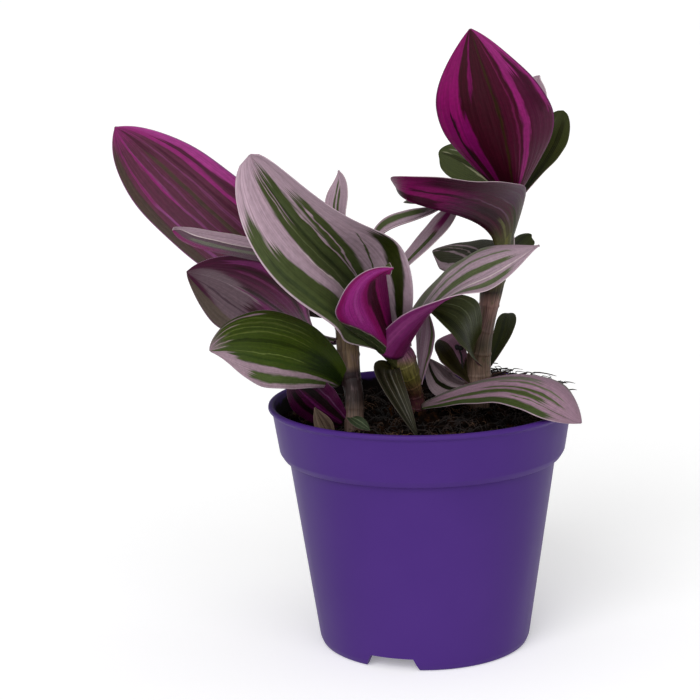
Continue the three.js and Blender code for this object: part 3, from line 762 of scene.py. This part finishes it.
def leaf_material(name, ground, bands, margin):
    """One side of a blade: its ground colour, then bands over it in order, then the thin margin.

    A band is (colour, v, half width, start t, end t), where a slanting band's v is the pair of its v at
    the root and its v at the tip. A wide band has softer sides and ends.
    """
    material, tree, shader, coordinates = new_material(name)
    uv = coordinates["UV"]
    u, t, _ = add_node(tree, "SeparateXYZ", {"Vector": uv}).outputs
    waver = noise(tree, uv, 1.0, 3.0, (5.0, 3.0, 1.0))
    streaks = noise(tree, uv, 1.0, 4.0, (60.0, 2.5, 1.0))
    hairlines = noise(tree, uv, 1.0, 2.0, (170.0, 3.0, 1.0))
    fingers = noise(tree, uv, 1.0, 2.0, (24.0, 9.0, 1.0))
    mottling = noise(tree, uv, 1.0, 5.0, (26.0, 44.0, 1.0))
    v = maths(tree, "MULTIPLY_ADD", u, 2.0, -1.0)
    fingered = maths(tree, "ADD", v, spread(tree, fingers, -0.02, 0.02))
    wavered = maths(tree, "MULTIPLY_ADD", waver, WAVER, fingered)
    ragged = maths(tree, "MULTIPLY_ADD", streaks, RAGGED, t)
    colour = ground
    for tone, place, half, start, end in bands:
        root_v, tip_v = np.broadcast_to(place, 2).tolist()
        soft, fade = (0.1, 0.1) if half >= WIDE_BAND else (min(0.03, 0.5 * half), 0.03)
        middle = maths(tree, "MULTIPLY_ADD", t, tip_v - root_v, root_v + WAVER / 2)
        off = maths(tree, "ABSOLUTE", maths(tree, "SUBTRACT", wavered, middle))
        amount = soft_step(tree, off, half + soft, half - soft)
        if start > 0:
            begun = soft_step(tree, ragged, start + RAGGED / 2 - fade, start + RAGGED / 2 + fade)
            amount = times(tree, amount, begun)
        if end < 1:
            lasting = soft_step(tree, ragged, end + RAGGED / 2 + fade, end + RAGGED / 2 - fade)
            amount = times(tree, amount, lasting)
        colour = mixed(tree, amount, colour, tone)
    colour = mixed(tree, soft_step(tree, maths(tree, "ABSOLUTE", v), 0.965, 0.988), colour, margin)
    shade = times(tree, spread(tree, streaks, 0.78, 1.2), spread(tree, hairlines, 0.86, 1.16),
                  spread(tree, mottling, 0.88, 1.12))
    veins = maths(tree, "SINE", times(tree, v, VEINS))
    set_inputs(tree, shader, {
        "Base Color": shaded(tree, colour, shade),
        "Roughness": spread(tree, streaks, 0.36, 0.5),
        "Specular IOR Level": 0.15,
        "Subsurface Weight": 0.12,
        "Subsurface Radius": (0.0012, 0.0008, 0.0008),
        "Subsurface Scale": 1.0,
        "Normal": bump(tree, maths(tree, "MULTIPLY_ADD", veins, 0.25, hairlines), 0.00007),
    })
    return material


def leaf(name, shape, above, below):
    """A blade that stands for the CAD leaf of that name; above and below are (ground, bands, margin)."""
    points, quads, side, uv = leaf_mesh(shape)
    materials = [leaf_material(name + "_above", *above), leaf_material(name + "_below", *below)]
    piece = make_piece(name + "_blade", points, quads, materials, side, uv)
    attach(piece, "root")
    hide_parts("leaf_" + name)


def plain_under(dark_at=0.2):
    """An underside with one broad dark band at dark_at and a narrow one beside it."""
    dark_bands = [(PLUM, dark_at, 0.3, 0, 0.9), (PLUM, dark_at - 0.7, 0.1, 0, 0.8)]
    return (MAGENTA, dark_bands, HOT_MAGENTA)


SMALL_UPPER = (GREY_GREEN, [
    (PINK, -0.1, 0.12, 0, 1), (GREEN, 0.5, 0.2, 0, 0.9), (GREEN, -0.55, 0.16, 0, 0.9),
], PINK)

# The longest leaf, seen from below: it reaches far out to the left.
leaf("left_big", dict(
    midrib=[(-0.027, 0.0065, 0.117), (-0.061, 0.0155, 0.128),
            (-0.0895, -0.004, 0.1705), (-0.099, -0.012, 0.18)],
    face=(0.9, 0.5, -0.1), twist=-65, width=0.0415, widest=0.45, neck=0.3, taper=0.9,
    fold=0, left=(15, 0), right=(10, 5),
), above=(GREEN, [(PINK, 0.5, 0.15, 0, 1), (PINK, -0.4, 0.1, 0, 1)], PINK),
    below=("#522138", [
        ("#402f28", (-0.97, -0.95), 0.2, 0, 0.94), ("#7a3a6c", (-0.6, -0.62), 0.03, 0.2, 1),
        (MAGENTA, (-0.6, -0.62), 0.03, 0.62, 1), ("#713160", (-0.14, -0.28), 0.03, 0.3, 1),
        (HOT_MAGENTA, (-0.16, -0.32), 0.035, 0.58, 1), ("#433128", (0.13, 0.12), 0.05, 0.2, 0.8),
        ("#662d52", 0.34, 0.025, 0.3, 0.85), ("#662d52", (-0.05, -0.02), 0.02, 0.3, 0.8),
        ("#43142a", 0.45, 0.03, 0.3, 0.8), (HOT_MAGENTA, (0.6, 0.62), 0.05, 0.25, 1),
        (HOT_MAGENTA, (0.78, 0.72), 0.14, 0.62, 1), ("#94327a", (0.98, 0.92), 0.15, 0, 1),
        ("#47142f", (0.8, 0.7), 0.04, 0.3, 0.82), (HOT_MAGENTA, (0, -0.1), 0.95, 0.92, 1),
        (PLUM, (0.16, 0.2), 0.07, 0.78, 0.97),
    ], "#814377"))
leaf("left_slim", dict(
    midrib=[(-0.0265, 0.003, 0.121), (-0.042, -0.019, 0.139),
            (-0.076, -0.026, 0.1375), (-0.0785, -0.033, 0.1485)],
    face=(0, -0.3, 1), twist=-5, width=0.015, widest=0.55, neck=0.3, taper=0.45,
    fold=45, left=(5, 0), right=(10, 5),
), above=(PINK, [
        (GREY_GREEN, 0.5, 0.14, 0, 0.95), (GREY_GREEN, -0.3, 0.1, 0, 0.9),
    ], PALE),
    below=("#533c48", [
        (GREY_GREEN, 0.6, 0.12, 0, 0.85), (MAGENTA, 0.1, 0.25, 0.62, 1), ("#321826", -0.2, 0.14, 0, 0.8),
        (GREY_GREEN, -0.7, 0.1, 0, 0.9),
    ], PALE))
# Seen from below too, with its upper half turned to grey and green; the grey-violet there is painted sheen, a
# painted highlight.
leaf("left_low_back", dict(
    midrib=[(-0.028, -0.001, 0.106), (-0.046, 0.003, 0.1075),
            (-0.0565, -0.003, 0.127), (-0.077, -0.014, 0.132)],
    face=(0, 0.4, 0.9), twist=-30, width=0.04, widest=0.5, neck=0.3, taper=0.7,
    fold=-10, left=(-25, 35), right=(15, 5),
), above=(GREEN, [(PINK, 0.4, 0.2, 0, 1)], PINK),
    below=("#3a0325", [
        # The first band, grey-violet over the upper half towards the tip, is painted sheen.
        ("#5f4c54", (-1.3, 0.16), 0.42, 0.5, 0.98), ("#4e4138", (-0.97, -0.85), 0.24, 0.3, 0.97),
        ("#4f103d", (0, 0.1), 0.5, 0, 0.55), ("#471031", (0.3, 0.34), 0.05, 0.2, 0.8),
        ("#290210", (-0.35, -0.1), 0.07, 0, 0.6), ("#621c50", (-0.1, 0.08), 0.03, 0, 0.7),
        ("#22020b", (0.12, 0.16), 0.05, 0.05, 0.7), ("#541740", (0.55, 0.5), 0.02, 0.1, 0.8),
        ("#6a2158", (0.84, 0.76), 0.07, 0.1, 0.85), ("#260210", (0.66, 0.6), 0.04, 0.1, 0.8),
        ("#6d5a62", (-0.1, 0.05), 0.015, 0.55, 0.95), ("#45333c", (-0.5, -0.3), 0.02, 0.5, 0.95),
    ], "#623c58"))
leaf("left_front", dict(
    midrib=[(-0.0262, -0.0105, 0.0926), (-0.034, -0.03, 0.1116),
            (-0.0595, -0.034, 0.116), (-0.0675, -0.037, 0.1095)],
    face=(-0.2, -0.8, 0.6), twist=-5, width=0.0315, widest=0.55, neck=0.16, taper=0.8,
    fold=0, left=(-5, -30), right=(0, -50),
), above=("#2f3d0b", [
        ("#142202", (0.1, 0.25), 0.34, 0, 0.3), ("#87717b", (0.84, 0.78), 0.245, 0.02, 1),
        ("#3a4720", (0.76, 0.84), 0.085, 0.02, 0.7), ("#475221", -0.2, 0.02, 0.3, 0.85),
        ("#475221", -0.5, 0.025, 0.3, 0.9), ("#4a5825", -0.65, 0.015, 0.3, 0.9),
        ("#1f2b02", 0, 0.03, 0.3, 0.85), (DUSTY_PINK, (0.45, 0.5), 0.12, 0.8, 1),
        (DUSTY_PINK, (-0.5, -0.4), 0.6, 0.92, 1), (DUSTY_PINK, -0.8, 0.03, 0.55, 1),
        ("#817170", (-0.55, -0.5), 0.02, 0.74, 1), (DUSTY_PINK, -0.3, 0.03, 0.82, 1),
        ("#817170", -0.05, 0.02, 0.8, 1), ("#817170", 0.15, 0.02, 0.84, 1),
        ("#273707", (0.45, 0.4), 0.03, 0.3, 0.85), ("#525e2d", 0.3, 0.012, 0.3, 0.8),
        ("#4e5a28", -0.35, 0.012, 0.3, 0.85),
    ], "#8e7e87"),
    below=plain_under())
leaf("left_low", dict(
    midrib=[(-0.0265, -0.0165, 0.0805), (-0.032, -0.0175, 0.084),
            (-0.038, -0.018, 0.089), (-0.0435, -0.0185, 0.096)],
    face=(0.2, 0.9, 0.2), twist=0, width=0.017, widest=0.6, neck=0.4, taper=0.7,
    fold=5, left=(20, 10), right=(20, 10),
), above=SMALL_UPPER,
    below=("#330226", [
        ("#0e0203", 0.3, 0.16, 0, 0.9), ("#0e0203", -0.4, 0.14, 0, 0.85), ("#4d1142", 0, 0.03, 0, 0.9),
        ("#482642", 0.6, 0.03, 0, 0.9),
    ], "#421737"))
# The dry papery sheath at the foot of the stem.
leaf("left_dry", dict(
    midrib=[(-0.031, -0.0255, 0.079), (-0.0325, -0.026, 0.082),
            (-0.034, -0.026, 0.085), (-0.035, -0.026, 0.088)],
    face=(0.2, -0.9, 0.2), twist=0, width=0.0065, widest=0.25, neck=0.8, taper=1,
    fold=10, left=(20, 10), right=(20, 10),
), above=("#504237", [
        ("#33261e", 0, 0.06, 0, 1), ("#625246", 0.5, 0.1, 0, 0.9), ("#3c2f27", -0.5, 0.15, 0, 1),
    ], "#625246"),
    below=("#463830", [
        ("#33261e", 0, 0.06, 0, 1), ("#55463c", 0.5, 0.1, 0, 0.9),
    ], "#625246"))
leaf("left_foot", dict(
    midrib=[(-0.0235, -0.0196, 0.0825), (-0.0225, -0.022, 0.0825),
            (-0.0195, -0.024, 0.081), (-0.017, -0.025, 0.0796)],
    face=(0.3, -0.7, 0.6), twist=0, width=0.005, widest=0.5, neck=0.6, taper=0.8,
    fold=10, left=(20, 10), right=(20, 10),
), above=("#2b3522", [
        ("#565f48", 0.35, 0.06, 0, 1), ("#565f48", -0.3, 0.06, 0, 1),
    ], "#4d4a3c"),
    below=plain_under())
leaf("left_joint", dict(
    midrib=[(-0.0268, -0.005, 0.0945), (-0.028, -0.0045, 0.097),
            (-0.03, -0.0045, 0.1), (-0.0315, -0.0045, 0.1035)],
    face=(0.2, 0.9, 0.2), twist=0, width=0.008, widest=0.5, neck=0.5, taper=0.8,
    fold=10, left=(20, 10), right=(20, 10),
), above=SMALL_UPPER,
    below=("#620248", [
        ("#42022f", 0.3, 0.2, 0, 1), ("#711158", -0.5, 0.2, 0, 1),
    ], "#622b50"))


# Leaves of the centre stem: the largest blade faces the camera, a young magenta one stands folded in
# front of it, and a long one reaches out to the right.

STRIPE_GREEN = "#3e4726"

leaf("centre_big", dict(
    midrib=[(-0.0065, -0.003, 0.1035), (-0.0185, -0.005, 0.1305),
            (-0.034, -0.0385, 0.139), (-0.0525, -0.039, 0.1725)],
    face=(-0.4, -0.7, 0.6), twist=-10, width=0.047, widest=0.5, neck=0.3, taper=0.45,
    fold=40, left=(30, -30), right=(15, 35),
), above=(PINK, [
        (STRIPE_GREEN, 0.97, 0.245, 0, 0.86), (STRIPE_GREEN, (0.55, 0.85), 0.16, 0, 0.76),
        (STRIPE_GREEN, (0.2, 0.02), 0.245, 0, 0.94), (STRIPE_GREEN, (0.14, -0.51), 0.12, 0.15, 0.84),
        (PINK, 0.1, 0.014, 0.74, 0.93), (PINK, (0.04, -0.21), 0.014, 0.3, 0.78),
        (PINK, (0.17, -0.48), 0.012, 0.35, 0.8), (PALE, (0.36, 0.34), 0.01, 0.35, 0.7),
        # The dark green band over the right half near the root is painted shade.
        (STRIPE_GREEN, (0.06, -1.09), 0.015, 0.28, 0.62), (SHADED_BASE_GREEN, (-0.45, -1.25), 0.12, 0, 0.6),
        (PINK, (0.22, 0.16), 0.01, 0.8, 0.92), ("#30391f", (0.12, 0.05), 0.03, 0.1, 0.9),
        ("#30391f", (0.8, 0.85), 0.03, 0.1, 0.75), ("#525a39", (0.3, 0.12), 0.012, 0.1, 0.8),
    ], "#ab98a2"),
    below=plain_under(0.1))
# The young magenta leaf, folded round its midrib.
leaf("centre_small", dict(
    midrib=[(-0.0076, -0.0048, 0.0964), (-0.017, -0.026, 0.124),
            (-0.0215, -0.047, 0.1325), (-0.008, -0.0495, 0.1375)],
    face=(-0.5, 0.8, 0.2), twist=-20, width=0.024, widest=0.55, neck=0.15, taper=1,
    fold=10, left=(45, -15), right=(85, 0),
), above=(GREEN, [(PINK, 0.5, 0.2, 0, 1)], PINK),
    below=("#770f52", [
        ("#8d2675", -0.5, 0.3, 0.2, 1), ("#973681", (-0.42, -0.45), 0.06, 0.35, 0.9),
        ("#310217", (0.22, 0.14), 0.18, 0, 0.66), ("#420b2a", (0.05, 0.1), 0.1, 0.45, 0.96),
        ("#640b48", (0.75, 0.7), 0.26, 0, 0.9), ("#2f371f", (-0.35, -3.35), 0.6, 0, 0.5),
        ("#7c706a", (0.22, -2.78), 0.02, 0.1, 0.45), ("#57583d", (-0.1, -3.1), 0.02, 0, 0.4),
        ("#4d4825", 0, 1.2, 0, 0.03),
    ], "#83667d"))
leaf("centre_right", dict(
    midrib=[(-0.0056, -0.0058, 0.101), (0.007, -0.022, 0.129),
            (0.017, -0.0175, 0.131), (0.039, -0.0235, 0.14)],
    face=(-0.7, -0.1, 0.7), twist=-40, width=0.029, widest=0.6, neck=0.95, taper=1.2,
    fold=5, left=(35, -55), right=(140, 5),
), above=("#96818c", [
        ("#62664e", (0.78, 0.85), 0.16, 0.1, 0.75), ("#4a5235", (0.12, -0.1), 0.1, 0.22, 0.86),
        ("#5e624d", (0.4, 0.34), 0.04, 0.25, 0.86), ("#50583d", (-0.62, -0.74), 0.12, 0.15, 0.84),
        ("#736268", (-0.2, -0.25), 0.03, 0.2, 0.6), ("#5e6052", 0.3, 0.5, 0, 0.2),
        (PALE, 0.55, 0.02, 0, 0.5), (PALE, (-0.4, -0.45), 0.03, 0.3, 0.95),
    ], "#ae9ca4"),
    below=("#732560", [
        ("#62174a", -0.3, 0.15, 0, 0.9), ("#833670", -0.75, 0.1, 0, 0.9),
    ], "#a6819a"))
# A narrow dark leaf that hangs down to the peat.
leaf("centre_droop", dict(
    midrib=[(-0.0096, -0.003, 0.0945), (-0.015, -0.015, 0.101),
            (-0.0085, -0.028, 0.093), (-0.0015, -0.03, 0.0785)],
    face=(0.1, -0.8, 0.6), twist=5, width=0.01, widest=0.35, neck=0.5, taper=0.75,
    fold=15, left=(20, 25), right=(25, 30),
), above=("#242214", [
        ("#525048", 0.3, 0.04, 0, 0.95), ("#525048", -0.2, 0.03, 0, 0.95),
        ("#424133", 0.62, 0.03, 0, 0.95), ("#101102", 0.1, 0.07, 0, 1), ("#101102", -0.6, 0.15, 0.3, 1),
        ("#292710", 0, 1.2, 0, 0.25),
    ], "#3d3931"),
    below=("#292710", [("#242214", 0.2, 0.1, 0, 1)], "#3d3931"))
leaf("centre_mauve", dict(
    midrib=[(-0.0005, 0.0055, 0.088), (-0.0005, 0.0085, 0.0965),
            (0.0005, 0.0085, 0.105), (0.002, 0.006, 0.1155)],
    face=(0.6, 0.4, 0.7), twist=-5, width=0.01, widest=0.6, neck=0.35, taper=0.85,
    fold=15, left=(0, 10), right=(15, 10),
), above=SMALL_UPPER,
    below=("#967689", [
        ("#a68c9a", 0.4, 0.12, 0.1, 0.9), ("#816275", -0.5, 0.15, 0, 0.9),
        ("#4e5233", 0.78, 0.09, 0, 0.9), ("#4e5233", -0.15, 0.03, 0, 0.7),
    ], "#9e7f8f"))
# It arches over the rim and droops at its tip.
leaf("front_right", dict(
    midrib=[(0.0002, 0.0042, 0.0815), (0.0195, -0.005, 0.093),
            (0.042, -0.034, 0.1055), (0.052, -0.0285, 0.082)],
    face=(-0.3, -0.4, 0.9), twist=15, width=0.028, widest=0.75, neck=0.15, taper=0.8,
    fold=-10, left=(-35, -45), right=(-20, 10),
), above=("#8a6e7d", [
        ("#38441f", -0.9, 0.13, 0, 0.86), ("#3e4924", (-0.6, -0.43), 0.075, 0.1, 0.78),
        ("#3f4a25", (-0.36, -0.3), 0.035, 0.36, 0.88), ("#3d472a", (0.4, 0.32), 0.42, 0, 0.36),
        (GREY_GREEN, (0, 0.05), 0.07, 0.1, 0.68), ("#3f4a25", (-0.72, -0.6), 0.015, 0.6, 0.92),
        ("#545840", -0.12, 0.025, 0.45, 0.84), ("#4e553c", (0.62, 0.56), 0.07, 0.2, 0.86),
        ("#364218", -0.5, 0.7, 0, 0.02), ("#846877", 0.2, 0.05, 0, 0.5),
    ], "#9e8993"),
    below=plain_under())


# Leaves behind: small folded blades, pale with green and magenta stripes, of a cutting that stands
# hidden behind the big centre leaf.

leaf("back_up", dict(
    midrib=[(-0.0155, 0.0115, 0.131), (-0.035, 0.0065, 0.143),
            (-0.023, 0.007, 0.153), (-0.027, 0.012, 0.162)],
    face=(-0.5, -0.8, 0.4), twist=-10, width=0.01, widest=0.6, neck=0.4, taper=0.9,
    fold=25, left=(20, 10), right=(30, 10),
), above=(PINK, [
        (GREEN, 0.35, 0.07, 0.2, 0.9), (GREEN, (0.05, 0.1), 0.09, 0.2, 0.8),
    ], PALE),
    below=plain_under())
leaf("back_right", dict(
    midrib=[(-0.013, 0.0105, 0.134), (-0.0175, 0.0065, 0.1445),
            (-0.0005, 0.008, 0.1435), (0.0085, 0.01, 0.1495)],
    face=(-0.1, -0.5, 0.9), twist=-5, width=0.0085, widest=0.5, neck=0.4, taper=0.75,
    fold=30, left=(10, 10), right=(15, 10),
), above=(PINK, [(GREEN, 0.6, 0.25, 0.2, 0.85), (PLUM, -0.2, 0.05, 0.3, 0.9)], PALE),
    below=plain_under())
leaf("back_far_right", dict(
    midrib=[(-0.0095, 0.014, 0.124), (0, 0.014, 0.1335),
            (0.01, 0.018, 0.141), (0.0135, 0.022, 0.149)],
    face=(-0.4, -0.7, 0.6), twist=-10, width=0.009, widest=0.65, neck=0.4, taper=0.75,
    fold=30, left=(10, 10), right=(15, 5),
), above=(PINK, [(GREEN, 0.1, 0.2, 0, 0.6), (MAGENTA, (0.2, 0.3), 0.25, 0.6, 1)], PALE),
    below=plain_under())


# Leaves of the right stem: a tall blade that shows its magenta underside, a rolled one below it, and
# young grey-green ones round the joints.

# The tall blade, seen from below.
leaf("right_top", dict(
    midrib=[(0.032, 0.0135, 0.153), (0.029, -0.0015, 0.173),
            (0.022, -0.02, 0.1895), (0.0175, -0.0195, 0.2095)],
    face=(0, 0.9, 0.3), twist=25, width=0.0385, widest=0.5, neck=0.2, taper=0.8,
    fold=-5, left=(40, 5), right=(35, 10),
), above=(GREEN, [(PINK, 0.5, 0.15, 0, 1), (PINK, -0.4, 0.12, 0, 1)], PINK),
    below=("#330214", [
        ("#45072a", 0.82, 0.23, 0, 0.9), ("#3f021f", 0.28, 0.14, 0, 1),
        ("#2d1b09", (0.1, 0.05), 0.028, 0, 0.95), ("#770554", (-0.8, -0.77), 0.24, 0.3, 1),
        ("#700352", (-0.48, -0.64), 0.085, 0.02, 0.5), ("#700352", (-0.82, -0.8), 0.05, 0.1, 0.5),
        ("#770554", -0.96, 0.08, 0.15, 0.6), ("#210211", -0.72, 0.025, 0.2, 0.52),
        ("#660348", -0.3, 0.035, 0.62, 1), ("#811860", (0.48, 0.55), 0.06, 0, 1),
        (HOT_MAGENTA, 0.7, 0.19, 0.74, 1), (HOT_MAGENTA, (0.98, 0.97), 0.06, 0.5, 1),
        ("#37021f", (0.84, 0.8), 0.06, 0.5, 0.84), ("#570b37", 0.36, 0.018, 0.1, 0.95),
    ], "#581048"))
# The rolled blade: it opens like a funnel to the upper left.
leaf("right_funnel", dict(
    midrib=[(0.0265, 0.0125, 0.1325), (0.0265, 0.013, 0.1495),
            (-0.0045, -0.0295, 0.151), (-0.007, -0.0065, 0.1575)],
    face=(0.2, 0.2, 1), twist=-25, width=0.0395, widest=0.25, neck=0.4, taper=0.5,
    fold=45, left=(125, -50), right=(125, -50), opening=3.8,
), above=(GREY_GREEN, [(PINK, 0.4, 0.1, 0, 1), (PINK, -0.4, 0.1, 0, 1)], PALE),
    below=("#390920", [
        ("#39112f", (0.85, 0.82), 0.2, 0.06, 0.66), ("#56394c", (0.45, 0.4), 0.014, 0.06, 0.75),
        ("#56394c", (0.64, 0.6), 0.012, 0.06, 0.6), ("#240211", (0.3, 0.25), 0.08, 0.06, 0.7),
        ("#240211", (0.08, 0.05), 0.06, 0.06, 0.9), ("#4a0e36", 0.5, 0.62, 0.42, 0.85),
        ("#711150", (0.26, 0.36), 0.3, 0.58, 1), ("#360a22", (0.85, 0.8), 0.26, 0.3, 0.84),
        ("#711150", 0.5, 0.62, 0.78, 1), ("#31021c", 0.1, 0.1, 0.6, 1),
        ("#360a22", (0.42, 0.36), 0.03, 0.4, 0.84), ("#3e3d1f", 0, 1.2, 0, 0.14),
        ("#565433", 0.3, 0.03, 0, 0.2), ("#252503", 0.6, 0.05, 0, 0.2),
    ], "#56314a"))
leaf("right_back_left", dict(
    midrib=[(0.0305, 0.0165, 0.1535), (0.022, 0.033, 0.16),
            (0.0115, 0.039, 0.1645), (0.0075, 0.039, 0.1645)],
    face=(-0.3, -0.6, 0.7), twist=0, width=0.016, widest=0.45, neck=0.25, taper=0.55,
    fold=5, left=(15, -10), right=(20, -10),
), above=("#363d1c", [
        ("#7c7b60", (0.45, -0.3), 0.045, 0.1, 0.9), ("#717160", (-0.2, -0.5), 0.04, 0.1, 0.8),
        ("#212603", (0.1, -0.1), 0.1, 0, 0.9),
    ], "#545840"),
    below=plain_under())
leaf("right_back_right", dict(
    midrib=[(0.0343, 0.0165, 0.1505), (0.0425, 0.03, 0.1615),
            (0.047, 0.0355, 0.168), (0.0515, 0.038, 0.179)],
    face=(-0.5, -0.7, 0.6), twist=-15, width=0.0155, widest=0.5, neck=0.3, taper=0.5,
    fold=10, left=(20, 10), right=(40, 0),
), above=("#2e330e", [
        ("#1f2202", -0.4, 0.15, 0, 0.9), ("#3d431c", 0.3, 0.05, 0, 0.9),
    ], "#42452a"),
    below=plain_under())
leaf("right_back", dict(
    midrib=[(0.034, 0.0165, 0.153), (0.0415, 0.029, 0.1735),
            (0.0405, 0.037, 0.1875), (0.043, 0.035, 0.1915)],
    face=(-0.4, -0.9, 0.2), twist=10, width=0.014, widest=0.5, neck=0.3, taper=0.9,
    fold=15, left=(10, 10), right=(10, 15),
), above=(PINK, [(GREY_GREEN, 0, 0.4, 0, 0.8)], PALE), below=plain_under())
leaf("right_mid_left", dict(
    midrib=[(0.026, 0.0185, 0.127), (0.022, 0.0255, 0.1335),
            (0.0115, 0.037, 0.129), (0.005, 0.0355, 0.1295)],
    face=(-0.1, -0.5, 0.9), twist=-5, width=0.022, widest=0.45, neck=0.35, taper=0.45,
    fold=0, left=(10, -20), right=(20, -25),
), above=("#31311c", [
        ("#968189", (0.75, -0.35), 0.06, 0.2, 1), ("#968189", (0.25, -0.85), 0.05, 0.2, 1),
        ("#9b868f", (0.9, 0.75), 0.16, 0.3, 1), ("#1b1b02", (0.1, -0.3), 0.12, 0, 0.9),
        ("#817170", (0.5, -0.6), 0.02, 0.3, 1),
    ], "#96838c"),
    below=plain_under())
leaf("right_mid_right", dict(
    midrib=[(0.029, 0.018, 0.131), (0.036, 0.0285, 0.132),
            (0.0385, 0.0355, 0.1355), (0.04, 0.035, 0.135)],
    face=(0.1, -0.6, 0.8), twist=0, width=0.0075, widest=0.5, neck=0.5, taper=0.5,
    fold=0, left=(10, -20), right=(10, -20),
), above=("#292f0b", [
        ("#1a1f02", 0.3, 0.15, 0, 0.9), ("#353c1a", -0.3, 0.05, 0, 0.9),
    ], "#393e21"),
    below=plain_under())
# A dark leaf that clasps the stem and bends to the left.
leaf("right_clasp", dict(
    midrib=[(0.0183, 0.014, 0.097), (0.015, 0.003, 0.106),
            (0.018, -0.003, 0.1145), (0.002, -0.001, 0.1165)],
    face=(0.5, -0.6, 0.5), twist=5, width=0.0205, widest=0.5, neck=0.62, taper=0.8,
    fold=5, left=(50, 10), right=(60, 10),
), above=("#2d3211", [
        ("#4e5437", (-0.3, -0.5), 0.02, 0.2, 0.9), ("#42482a", (-0.6, -0.9), 0.025, 0.2, 0.85),
        ("#3f4527", (0.1, 0), 0.02, 0.2, 0.9), ("#1a1f02", 0.5, 0.2, 0.1, 0.95),
        ("#1f2402", (-0.1, -0.3), 0.05, 0.1, 0.9), ("#524637", 0, 1.2, 0, 0.02),
    ], "#42462a"),
    below=plain_under())
leaf("right_low_right", dict(
    midrib=[(0.0225, 0.0205, 0.089), (0.0315, 0.028, 0.1005),
            (0.031, 0.0355, 0.105), (0.032, 0.042, 0.106)],
    face=(-0.3, -0.4, 0.9), twist=-10, width=0.008, widest=0.55, neck=0.4, taper=0.45,
    fold=15, left=(20, 15), right=(35, 5),
), above=("#262b07", [
        ("#181e02", 0.3, 0.15, 0, 0.9), ("#333917", -0.3, 0.05, 0, 0.9),
    ], "#35391c"),
    below=plain_under())
leaf("right_low_left", dict(
    midrib=[(0.0175, 0.016, 0.087), (0.011, 0.0125, 0.0965),
            (0.01, 0.011, 0.1025), (0.006, 0.0135, 0.102)],
    face=(0, -0.5, 0.9), twist=-10, width=0.017, widest=0.55, neck=0.3, taper=0.55,
    fold=5, left=(15, -5), right=(15, -10),
), above=("#2f2b10", [
        ("#a57992", -0.72, 0.24, 0.22, 1), ("#a57992", (-0.32, -0.3), 0.22, 0.22, 1),
        ("#1f1a02", 0.5, 0.2, 0.1, 0.9), ("#42372a", 0, 0.05, 0.1, 0.9),
    ], "#715764"),
    below=plain_under())
# The young pale leaf behind the dark scrap.
leaf("low_pale", dict(
    midrib=[(0.017, 0.0185, 0.084), (0.007, 0.017, 0.083),
            (0.0055, 0.015, 0.088), (0.0025, 0.013, 0.096)],
    face=(0.2, -0.9, 0.4), twist=0, width=0.0115, widest=0.5, neck=0.35, taper=0.75,
    fold=10, left=(20, 10), right=(20, 10),
), above=("#9d8990", [
        ("#1a2007", (0, 0.3), 0.15, 0, 0.95), ("#736266", -0.6, 0.2, 0, 0.9),
        ("#ad999f", -0.2, 0.08, 0, 0.9),
    ], "#9e8c93"),
    below=plain_under())


# Floor and light: a plain near-white sweep, one big soft light from the upper left, weaker ones from
# the right and from above, and pale surroundings.

HALF_FLOOR = 200.0
FLOOR_HEIGHT = -0.0002


def floor_material():
    """Matt white, a little brighter than its light makes it."""
    material, tree, shader, coordinates = new_material("floor")
    tone = noise(tree, coordinates["Object"], 0.8, 2.0)
    set_inputs(tree, shader, {
        "Base Color": spread(tree, tone, 0.95, 0.97),
        "Roughness": 0.9,
        "Specular IOR Level": 0.1,
        "Emission Color": (1.0, 1.0, 1.0, 1.0),
        "Emission Strength": 0.24,
    })
    return material


def broad_light(name, side, height, strength, softness):
    """A distant light at these angles in degrees: side is right of the camera, height above the floor."""
    data = bpy.data.lights.new(name, "SUN")
    data.energy = strength
    data.angle = np.radians(softness)
    lamp = bpy.data.objects.new(name, data)
    bpy.context.scene.collection.objects.link(lamp)
    around = np.radians(side)
    above = np.radians(height)
    toward = (np.sin(around) * np.cos(above), -np.cos(around) * np.cos(above), np.sin(above))
    lamp.rotation_euler = mathutils.Vector(toward).to_track_quat("Z", "Y").to_euler()


floor_sides = ((-HALF_FLOOR, -HALF_FLOOR), (HALF_FLOOR, -HALF_FLOOR), (HALF_FLOOR, HALF_FLOOR),
               (-HALF_FLOOR, HALF_FLOOR))
floor_corners = [(x, y, FLOOR_HEIGHT) for x, y in floor_sides]
floor_mesh = bpy.data.meshes.new("floor")
floor_mesh.from_pydata(floor_corners, [], [(0, 1, 2, 3)])
floor_mesh.materials.append(floor_material())
floor = bpy.data.objects.new("floor", floor_mesh)
bpy.context.scene.collection.objects.link(floor)

broad_light("key", -22, 32, 1.66, 40)
broad_light("fill", 26, 24, 0.68, 50)
broad_light("top", 0, 75, 0.6, 80)

world = bpy.data.worlds.new("studio")
world.use_nodes = True
world.node_tree.nodes["Background"].inputs["Color"].default_value = (1.0, 1.0, 1.0, 1.0)
world.node_tree.nodes["Background"].inputs["Strength"].default_value = 0.3
bpy.context.scene.world = world
bpy.context.scene.view_settings.view_transform = "Standard"
